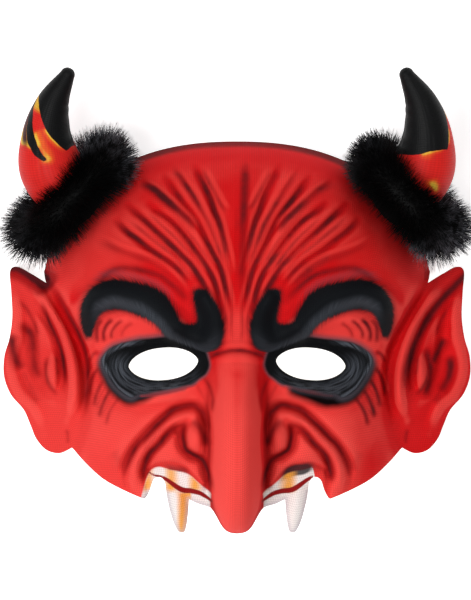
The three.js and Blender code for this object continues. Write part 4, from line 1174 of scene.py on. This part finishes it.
# %% Build both horns
horn_t = np.concatenate([t_all, [1 + TIP], np.full(len(foot), starts.mean())])
horn_angle = np.append(angle_all, np.zeros(1 + len(foot)))
horns = []
for side, sign in (("left", -1), ("right", 1)):
    points = horn_points * (sign, 1, 1) * MM
    horn = new_mesh(f"horn_{side}_stuffed", points, horn_faces if sign > 0 else horn_faces[:, ::-1])
    burning, char = flames(horn_t, horn_angle, side)  # the two horns aren't printed alike
    store(horn, "burning", burning)
    store(horn, "char", char)
    store(horn, "tongue_tip", smooth((horn_t - FLAME_BASE - 0.74 * TONGUES[side][0][2]) / 0.07))
    store(horn, "along", horn_t)
    cloth_round = np.sin(horn_angle) * 13 * np.sign(np.cos(horn_angle)) + horn_angle * 6
    lay_fabric(horn, np.stack([cloth_round, horn_t * HORN_CLOTH], 1))
    horns.append(horn)
print("each horn:", len(horn_faces), "triangles")

# %% [markdown]
# ## Knit printed with flames
# The horn's knit is the same cloth, but stretched tighter over the stuffing, so it looks a little smoother
# and has more sheen. Its black isn't quite black: the light catches the yarn.

# %% The horn fabric
flame_knit, tree, shader, place = start_material("flame_printed_knit", specular_ior_level=0.14)
cloud, grain, patch = noise(tree, place, 160, 3), noise(tree, place, 1100, 3), noise(tree, place, 70, 1)
centred = maths(tree, "SUBTRACT", cloud, 0.5)
burning = maths(tree, "MULTIPLY_ADD", centred, 0.02, stored(tree, "burning"))
deep = maths(tree, "MULTIPLY_ADD", centred, 0.2, burning)
charred, tongue_tip = stored(tree, "char"), stored(tree, "tongue_tip")
fire = fade(tree, burning, -0.002, 0.003)
FLAME_LAYERS = [  # value, full from, gone by, where the patches start and are full, colour
    (burning, -0.4, -0.6, 0.0, 0.01, "#D2201B"), (deep, 0.3, 0.08, 0.0, 0.01, "#A81013"),
    (burning, 0.012, 0.055, 0.5, 0.68, "#E8641C"), (burning, 0.006, 0.02, 0.56, 0.66, "#E0B83C"),
    (charred, 0.9, 0.1, 0.0, 0.01, "#3C0A0E"), (tongue_tip, 0.9, 0.1, 0.0, 0.01, "#D8A82C"),
]
colour = mix(tree, grain, "#040405", "#0B0C0D")
for value, full, gone, bare, covered, code in FLAME_LAYERS:
    mask = maths(tree, "MULTIPLY", fade(tree, value, gone, full), fade(tree, patch, bare, covered))
    colour = mix(tree, maths(tree, "MULTIPLY", mask, fire), colour, code)
# painted shadow of the fur cuff: the horn darkens to black towards its foot
painted_fur_shadow = fade(tree, stored(tree, "along"), 0.16, 0.3, 1.0, 0.0)
colour = mix(tree, painted_fur_shadow, colour, "#0A0607")
stitch = stitches(tree, 0.6)
gap = fade(tree, stitch, -1.6, 1.6, 0.85, 1.08, soft=False)
matt = maths(tree, "MULTIPLY_ADD", grain, 0.14, 0.44)
link_surface(tree, shader, mix(tree, 1.0, colour, gap, "MULTIPLY"), matt, stitch)
for horn in horns:
    horn.data.materials.append(flame_knit)
print("the flames have", len(FLAME_LAYERS), "layers")

# %% [markdown]
# ## The fur cuffs
# A strip of long-haired artificial fur is sewn into a ring round the foot of each horn. Its backing is a
# knit that nobody sees, so a plain ring stands for it, and the hair does the rest. The ring is laid on the
# forehead: where it would sink into the face sheet, its points move out along the slope.

# %% Keep points out of the face
CUFF_CENTRE = np.array([81.8, 52.6, 39.5])
CUFF_AXIS = unit(np.array([0.7, 0.69, 0.2]))
RING_RADIUS, BACKING_RADIUS = 24.5, 8.4  # mm, of the ring and of the tube that it is bent from


def face_normal(x, y):
    """Which way the face sheet looks at each point of the right half."""
    step = 1.0
    dx = (on_grid(front_grid, x + step, y) - on_grid(front_grid, x - step, y)) / (2 * step)
    dy = (on_grid(front_grid, x, y + step) - on_grid(front_grid, x, y - step)) / (2 * step)
    return unit(np.stack([-dx, -dy, np.ones(len(x))], 1))


def out_of_face(points, gap):
    """Moves points that lie in or under the face sheet out of it, square to its slope."""
    points = points.copy()
    for _ in range(6):
        short = gap - above_face(points)
        normal = face_normal(np.abs(points[:, 0]), points[:, 1])
        points += normal * (np.clip(short, 0, 30) * normal[:, 2])[:, None]
    return points


# %% The backing ring
ROUND_RING, ROUND_TUBE = 120, 36  # points of the ring
ring_turn, tube_turn = np.meshgrid(np.linspace(0, 2 * np.pi, ROUND_RING, endpoint=False),
                                   np.linspace(0, 2 * np.pi, ROUND_TUBE, endpoint=False), indexing="ij")
ring_turn, tube_turn = ring_turn.ravel(), tube_turn.ravel()
one = unit(np.cross(CUFF_AXIS, (0, 0, 1.0)))
two = np.cross(CUFF_AXIS, one)
radial = np.cos(ring_turn)[:, None] * one + np.sin(ring_turn)[:, None] * two
front = np.maximum(radial[:, 2], 0)  # how far each place is turned upwards, where the strip is squeezed
leaving = np.cos(tube_turn)[:, None] * radial + np.sin(tube_turn)[:, None] * CUFF_AXIS
lumps = 1 + 0.10 * np.sin(5 * ring_turn + 0.8) + 0.06 * np.sin(11 * ring_turn + 2)
lumps += 0.05 * np.sin(3 * tube_turn)
thick = BACKING_RADIUS * lumps * (1 - 0.2 * front**2)
wide = RING_RADIUS - 1.6 * np.maximum(radial[:, 1], 0)
backing = CUFF_CENTRE + wide[:, None] * radial + thick[:, None] * leaving
backing += np.maximum(-radial[:, 1], 0)[:, None] * (-1.8, -1.6, 0)
HUG = 5.0  # mm by which the strip closes in on the horn from above
backing -= (HUG * front * np.maximum(-np.cos(tube_turn), 0))[:, None] * radial
bare = (above_face(backing) < 1.2) & (np.abs(backing[:, 0]) < 120)
buried = above_face(backing) < -5
BACKING_GAP = 0.5  # mm
backing = out_of_face(backing, BACKING_GAP)
ring_grid = np.arange(ROUND_RING * ROUND_TUBE).reshape(ROUND_RING, ROUND_TUBE)
a, b = ring_grid, np.roll(ring_grid, -1, 0)
c, d = np.roll(b, -1, 1), np.roll(ring_grid, -1, 1)
backing_faces = np.stack([a, b, c, d], -1).reshape(-1, 4)

# %% [markdown]
# The hair has to be combed before it is planted. It stands out from the ring, but not into the horn, where
# the real hair is pressed flat along the cloth, and it lies over on the forehead. The comb's direction and
# the length of the hair are stored on the ring, and the nodes read them for each hair.

# %% Comb the hair
over_forehead = front * np.maximum(-np.sin(tube_turn), 0)
away = np.maximum(0.55 + 0.6 * np.cos(tube_turn), 0.05) * (1 - 0.6 * over_forehead)
along_horn = 0.8 * np.sin(tube_turn) * (1 - 0.3 * front) + 0.6 * hill(turned(tube_turn, np.pi) / 1.4)
comb = unit(away[:, None] * radial + along_horn[:, None] * CUFF_AXIS)
length = 8.0 + 0.7 * np.sin(3 * ring_turn + 1) + 0.6 * np.sin(7 * ring_turn + 2.2)
length += 0.8 * hill((turned(tube_turn, -1.5)) / 1.3) * (1 - front)  # over the forehead
length -= 1.2 * front * np.maximum(np.sin(tube_turn), 0)
slope = face_normal(np.abs(backing[:, 0]), backing[:, 1])
downhill = unit(-CUFF_AXIS + (slope @ CUFF_AXIS)[:, None] * slope)  # over the forehead, away from the horn
comb = np.where(bare[:, None], unit(downhill + 0.45 * slope), comb)  # it lies down where the ring rests
LYING = 5.2  # mm of hair
length[bare] = LYING
for _ in range(8):  # lift hairs whose ends would reach into the face
    ends = backing + comb * length[:, None]
    normal = face_normal(np.abs(ends[:, 0]), ends[:, 1])
    sunk = np.clip(1.2 - above_face(ends), 0, 6) * (ends[:, 2] > 0)
    comb = unit(comb + normal * (sunk * 0.05)[:, None])
sparse = (1 - 0.7 * (np.cos(tube_turn) < -0.7)) * np.where(buried, 0.0, 1.0)
upper = np.maximum(radial[:, 1], 0) ** 2  # the two strips weren't cut and laid alike: their upper ends differ
UPPER_END = {"left": ((-4.6, -2.4, 0), 0.8), "right": ((0.8, -5.6, 0), -2.2)}  # shift, and extra hair, in mm
UP_THE_HORN = {"left": 0.3, "right": 1.6}  # mm that the whole strip sits further up the horn

# %% [markdown]
# ## Planting the hair with Geometry Nodes
# One hair is a thin, tapering tube with three sides. The nodes scatter points over the ring, put a hair on
# each, turn it the way the comb says, and bend it with noise that changes slowly from root to root, so
# neighbouring hairs lean together and form locks. Placing hairs one by one in a loop would give the same
# mesh, but the nodes leave every size as an input that can be changed by hand.

# %% Sizes of the hair, and values that it reads and keeps
HAIR_SIZES = {
    "Hairs per square metre": 1500000.0, "Thickness": 0.17 * MM, "Bend": 1.5 * MM, "Lock size": 8 * MM,
}
FIRST_SEED = 7


def named(tree, name, kind="FLOAT"):
    """A value that was stored on the mesh, for Geometry Nodes."""
    return add_node(tree, "GeometryNodeInputNamedAttribute", {"Name": name}, data_type=kind).outputs[0]


def keep(tree, geometry, name, value, kind="FLOAT"):
    """Stores a value under a name on each point."""
    sockets = {"Geometry": geometry, "Name": name, "Value": value}
    settings = {"data_type": kind, "domain": "POINT"}
    return add_node(tree, "GeometryNodeStoreNamedAttribute", sockets, **settings).outputs[0]


def given_inputs(tree):
    """The tree's own inputs and output, with their sizes and seed."""
    tree.interface.new_socket("Geometry", in_out="INPUT", socket_type="NodeSocketGeometry")
    for name, value in HAIR_SIZES.items():
        tree.interface.new_socket(name, in_out="INPUT", socket_type="NodeSocketFloat").default_value = value
    tree.interface.new_socket("Seed", in_out="INPUT", socket_type="NodeSocketInt").default_value = FIRST_SEED
    tree.interface.new_socket("Geometry", in_out="OUTPUT", socket_type="NodeSocketGeometry")
    return add_node(tree, "NodeGroupInput").outputs


# %% [markdown]
# The tree is put together from short functions: its inputs, one straight hair, the roots, the planting and
# the bending.

# %% One hair
def one_strand(tree):
    """A straight, tapering hair one unit long, which knows how far up itself each point is."""
    line = add_node(tree, "GeometryNodeCurvePrimitiveLine", {"End": (0, 0, 1)}).outputs[0]
    line = add_node(tree, "GeometryNodeResampleCurve", {"Curve": line, "Count": 3}).outputs[0]
    up = add_node(tree, "GeometryNodeSplineParameter").outputs["Factor"]
    taper = fade(tree, up, 0, 1, 1.0, 0.22, soft=False)
    line = add_node(tree, "GeometryNodeSetCurveRadius", {"Curve": line, "Radius": taper}).outputs[0]
    line = keep(tree, line, "up_hair", up)
    girth = add_node(tree, "GeometryNodeCurvePrimitiveCircle", {"Resolution": 3, "Radius": 1.0}).outputs[0]
    sockets = {"Curve": line, "Profile Curve": girth, "Scale": taper, "Fill Caps": True}
    return add_node(tree, "GeometryNodeCurveToMesh", sockets).outputs[0]


# %% Plant the hairs
def rooted(tree, given):
    """Scatters points on the ring, each of which remembers where it stands."""
    density = maths(tree, "MULTIPLY", named(tree, "sparse"), given["Hairs per square metre"])
    sockets = {"Mesh": given["Geometry"], "Density": density, "Seed": given["Seed"]}
    roots = add_node(tree, "GeometryNodeDistributePointsOnFaces", sockets, distribute_method="RANDOM")
    where = add_node(tree, "GeometryNodeInputPosition").outputs[0]
    return keep(tree, roots.outputs["Points"], "root", where, "FLOAT_VECTOR")


def planted(tree, given):
    """A strand on each root, turned as the comb says with some strays, and of uneven length."""
    stray = {0: (-0.24,) * 3, 1: (0.24,) * 3, "Seed": 3}
    stray = add_node(tree, "FunctionNodeRandomValue", stray, data_type="FLOAT_VECTOR").outputs[0]
    aim = maths(tree, "ADD", named(tree, "comb", "FLOAT_VECTOR"), stray, kind="VectorMath")
    turn = add_node(tree, "FunctionNodeAlignRotationToVector", {"Vector": aim}, axis="Z").outputs[0]
    uneven = {2: 0.55, 3: 1.3, "Seed": 11}
    uneven = add_node(tree, "FunctionNodeRandomValue", uneven, data_type="FLOAT").outputs[1]
    long = maths(tree, "MULTIPLY", named(tree, "length"), uneven)
    size = {"X": given["Thickness"], "Y": given["Thickness"], "Z": long}
    size = add_node(tree, "ShaderNodeCombineXYZ", size).outputs[0]
    sockets = {"Points": rooted(tree, given), "Instance": one_strand(tree), "Rotation": turn, "Scale": size}
    hair = add_node(tree, "GeometryNodeInstanceOnPoints", sockets).outputs[0]
    return add_node(tree, "GeometryNodeRealizeInstances", {"Geometry": hair}).outputs[0]


# %% Bend the hairs, and the whole tree
def bent(tree, hair, given):
    """Bends the hairs more and more to their tips, alike within a lock, and keeps them above the table."""
    lock = maths(tree, "DIVIDE", 1.0, given["Lock size"])
    wander = noise(tree, named(tree, "root", "FLOAT_VECTOR"), lock, 1.5, "Color")
    lean = maths(tree, "SUBTRACT", wander, (0.5,) * 3, kind="VectorMath")
    how_far = maths(tree, "MULTIPLY", maths(tree, "POWER", named(tree, "up_hair"), 1.6), given["Bend"])
    lean = add_node(tree, "ShaderNodeVectorMath", {0: lean, "Scale": how_far}, operation="SCALE").outputs[0]
    lean = maths(tree, "MULTIPLY", lean, (2,) * 3, kind="VectorMath")
    hair = add_node(tree, "GeometryNodeSetPosition", {"Geometry": hair, "Offset": lean}).outputs[0]
    where = add_node(tree, "GeometryNodeInputPosition").outputs[0]
    above_table = maths(tree, "MAXIMUM", where, (-1, -1, 0.7 * MM), kind="VectorMath")
    return add_node(tree, "GeometryNodeSetPosition", {"Geometry": hair, "Position": above_table}).outputs[0]


def hair_tree(finish):
    tree = bpy.data.node_groups.new("long_hair_planting", "GeometryNodeTree")
    given = given_inputs(tree)
    whole = add_node(tree, "GeometryNodeJoinGeometry", {0: bent(tree, planted(tree, given), given)})
    tree.links.new(given["Geometry"], whole.inputs[0])
    whole = add_node(tree, "GeometryNodeRealizeInstances", {"Geometry": whole.outputs[0]})
    finished = add_node(tree, "GeometryNodeSetMaterial", {"Geometry": whole.outputs[0], "Material": finish})
    add_node(tree, "NodeGroupOutput", {"Geometry": finished.outputs[0]})
    print(tree.name, "has", len(tree.nodes), "nodes")
    return tree


# %% [markdown]
# ## Black artificial hair
# Modacrylic hair is solid black with a faint streak where the light runs along it. A middling roughness
# with little gloss gives that. In patches the tips get a painted highlight, lighter than the roots, which
# sit in each other's shadow.

# %% The hair's finish
black_hair, tree, shader, place = start_material("modacrylic_hair", specular_ior_level=0.1)
patch = noise(tree, place, 260, 2)
# painted highlight: lighter tips in patches, where the stored glint allows
lighter = maths(tree, "MULTIPLY", stored(tree, "up_hair"), fade(tree, patch, 0.42, 0.68))
lighter = maths(tree, "MULTIPLY", lighter, stored(tree, "glint"))
matt = maths(tree, "MULTIPLY_ADD", patch, 0.2, 0.5)
link_surface(tree, shader, mix(tree, lighter, "#020202", "#808088"), matt)

# %% Plant both cuffs
planting = hair_tree(black_hair)
inputs_by_name = {s.name: s.identifier for s in planting.interface.items_tree if s.in_out == "INPUT"}
cuffs = []
for number, (side, sign) in enumerate((("left", -1), ("right", 1))):
    shift, longer = UPPER_END[side]
    laid = out_of_face(backing + upper[:, None] * shift + UP_THE_HORN[side] * CUFF_AXIS, BACKING_GAP)
    ring = new_mesh(f"cuff_{side}_backing", laid * (sign, 1, 1) * MM,
                    backing_faces if sign > 0 else backing_faces[:, ::-1])
    store(ring, "comb", comb * (sign, 1, 1), "FLOAT_VECTOR")
    below_ear = np.maximum(-radial[:, 1] - 0.3, 0) * np.maximum(-np.sin(tube_turn), 0)
    store(ring, "length", (length + longer * upper + (3.4 if sign > 0 else 0.8) * below_ear) * MM)
    store(ring, "sparse", sparse)
    lit_end = smooth((0.2 - sign * radial[:, 1]) / 0.6)  # painted glints on the tips: the left one above, the right one below
    store(ring, "glint", smooth((0.85 - front) / 0.5) * (0.25 + 0.75 * lit_end))
    modifier = ring.modifiers.new("planting", "NODES")
    modifier.node_group = planting
    modifier[inputs_by_name["Seed"]] = FIRST_SEED + number
    evaluated = ring.evaluated_get(bpy.context.evaluated_depsgraph_get())
    mesh = bpy.data.meshes.new_from_object(evaluated)
    ring.modifiers.clear()
    cuff = bpy.data.objects.new(f"fur_ring_{side}", mesh)
    bpy.context.scene.collection.objects.link(cuff)
    bpy.data.objects.remove(ring)
    mesh.shade_smooth()
    mesh.calc_loop_triangles()
    print(cuff.name, len(mesh.loop_triangles), "triangles")
    cuffs.append(cuff)

# %% [markdown]
# ## Floor and light
# A product shot on white: a pale floor, a big soft light above the left side, a little towards the chin, a
# weaker one from the upper right, and light from all round that keeps the shadows open.

# %% The stage
FLOOR_HALF = 3  # m
floor_corners = FLOOR_HALF * np.array([(-1, -1, 0), (1, -1, 0), (1, 1, 0), (-1, 1, 0)], float)
floor = new_mesh("floor", floor_corners, np.array([(0, 1, 2, 3)]))
floor.location.z = -0.2 * MM
WHITE, GLOW = (1, 1, 1, 1), 0.6  # a light table, which keeps shadows and eye holes pale
paper = start_material("white_paper", roughness=0.9, base_color=linear("#F4F4F4"), emission_color=WHITE,
                       emission_strength=GLOW)[0]
floor.data.materials.append(paper)

LIGHTS = [  # name, place, size and power
    ("key", (-0.5, -0.3, 1.4), 0.8, 16.5),
    ("top", (0.5, 0.9, 1.1), 0.9, 4.2),
]
AIM = Vector((0, 0, 0.04))
for name, place, size, power in LIGHTS:
    data = bpy.data.lights.new(name, "AREA")
    data.shape = "DISK"
    data.size = size
    data.energy = power
    lamp = bpy.data.objects.new(name, data)
    lamp.location = place
    lamp.rotation_euler = (AIM - lamp.location).to_track_quat("-Z", "Y").to_euler()
    bpy.context.scene.collection.objects.link(lamp)
world = bpy.data.worlds.new("studio")
world.use_nodes = True
world.node_tree.nodes["Background"].inputs["Color"].default_value = WHITE
world.node_tree.nodes["Background"].inputs["Strength"].default_value = 0.3
bpy.context.scene.world = world

# %% [markdown]
# ## Bind the pieces to the model
# Every piece rides on the model's one body and stands for its CAD node. The horns are stuffed.

# %% Bind each piece to its node
PIECES = [
    (face, "face_sheet", "printed_fabric"),
    (horns[0], "horn_left", "horn_fabric"), (horns[1], "horn_right", "horn_fabric"),
    (cuffs[0], "fur_cuff_left", "long_hair"), (cuffs[1], "fur_cuff_right", "long_hair"),
]
for piece, node, finish in PIECES:
    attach(piece, BODY)
    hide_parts(node)
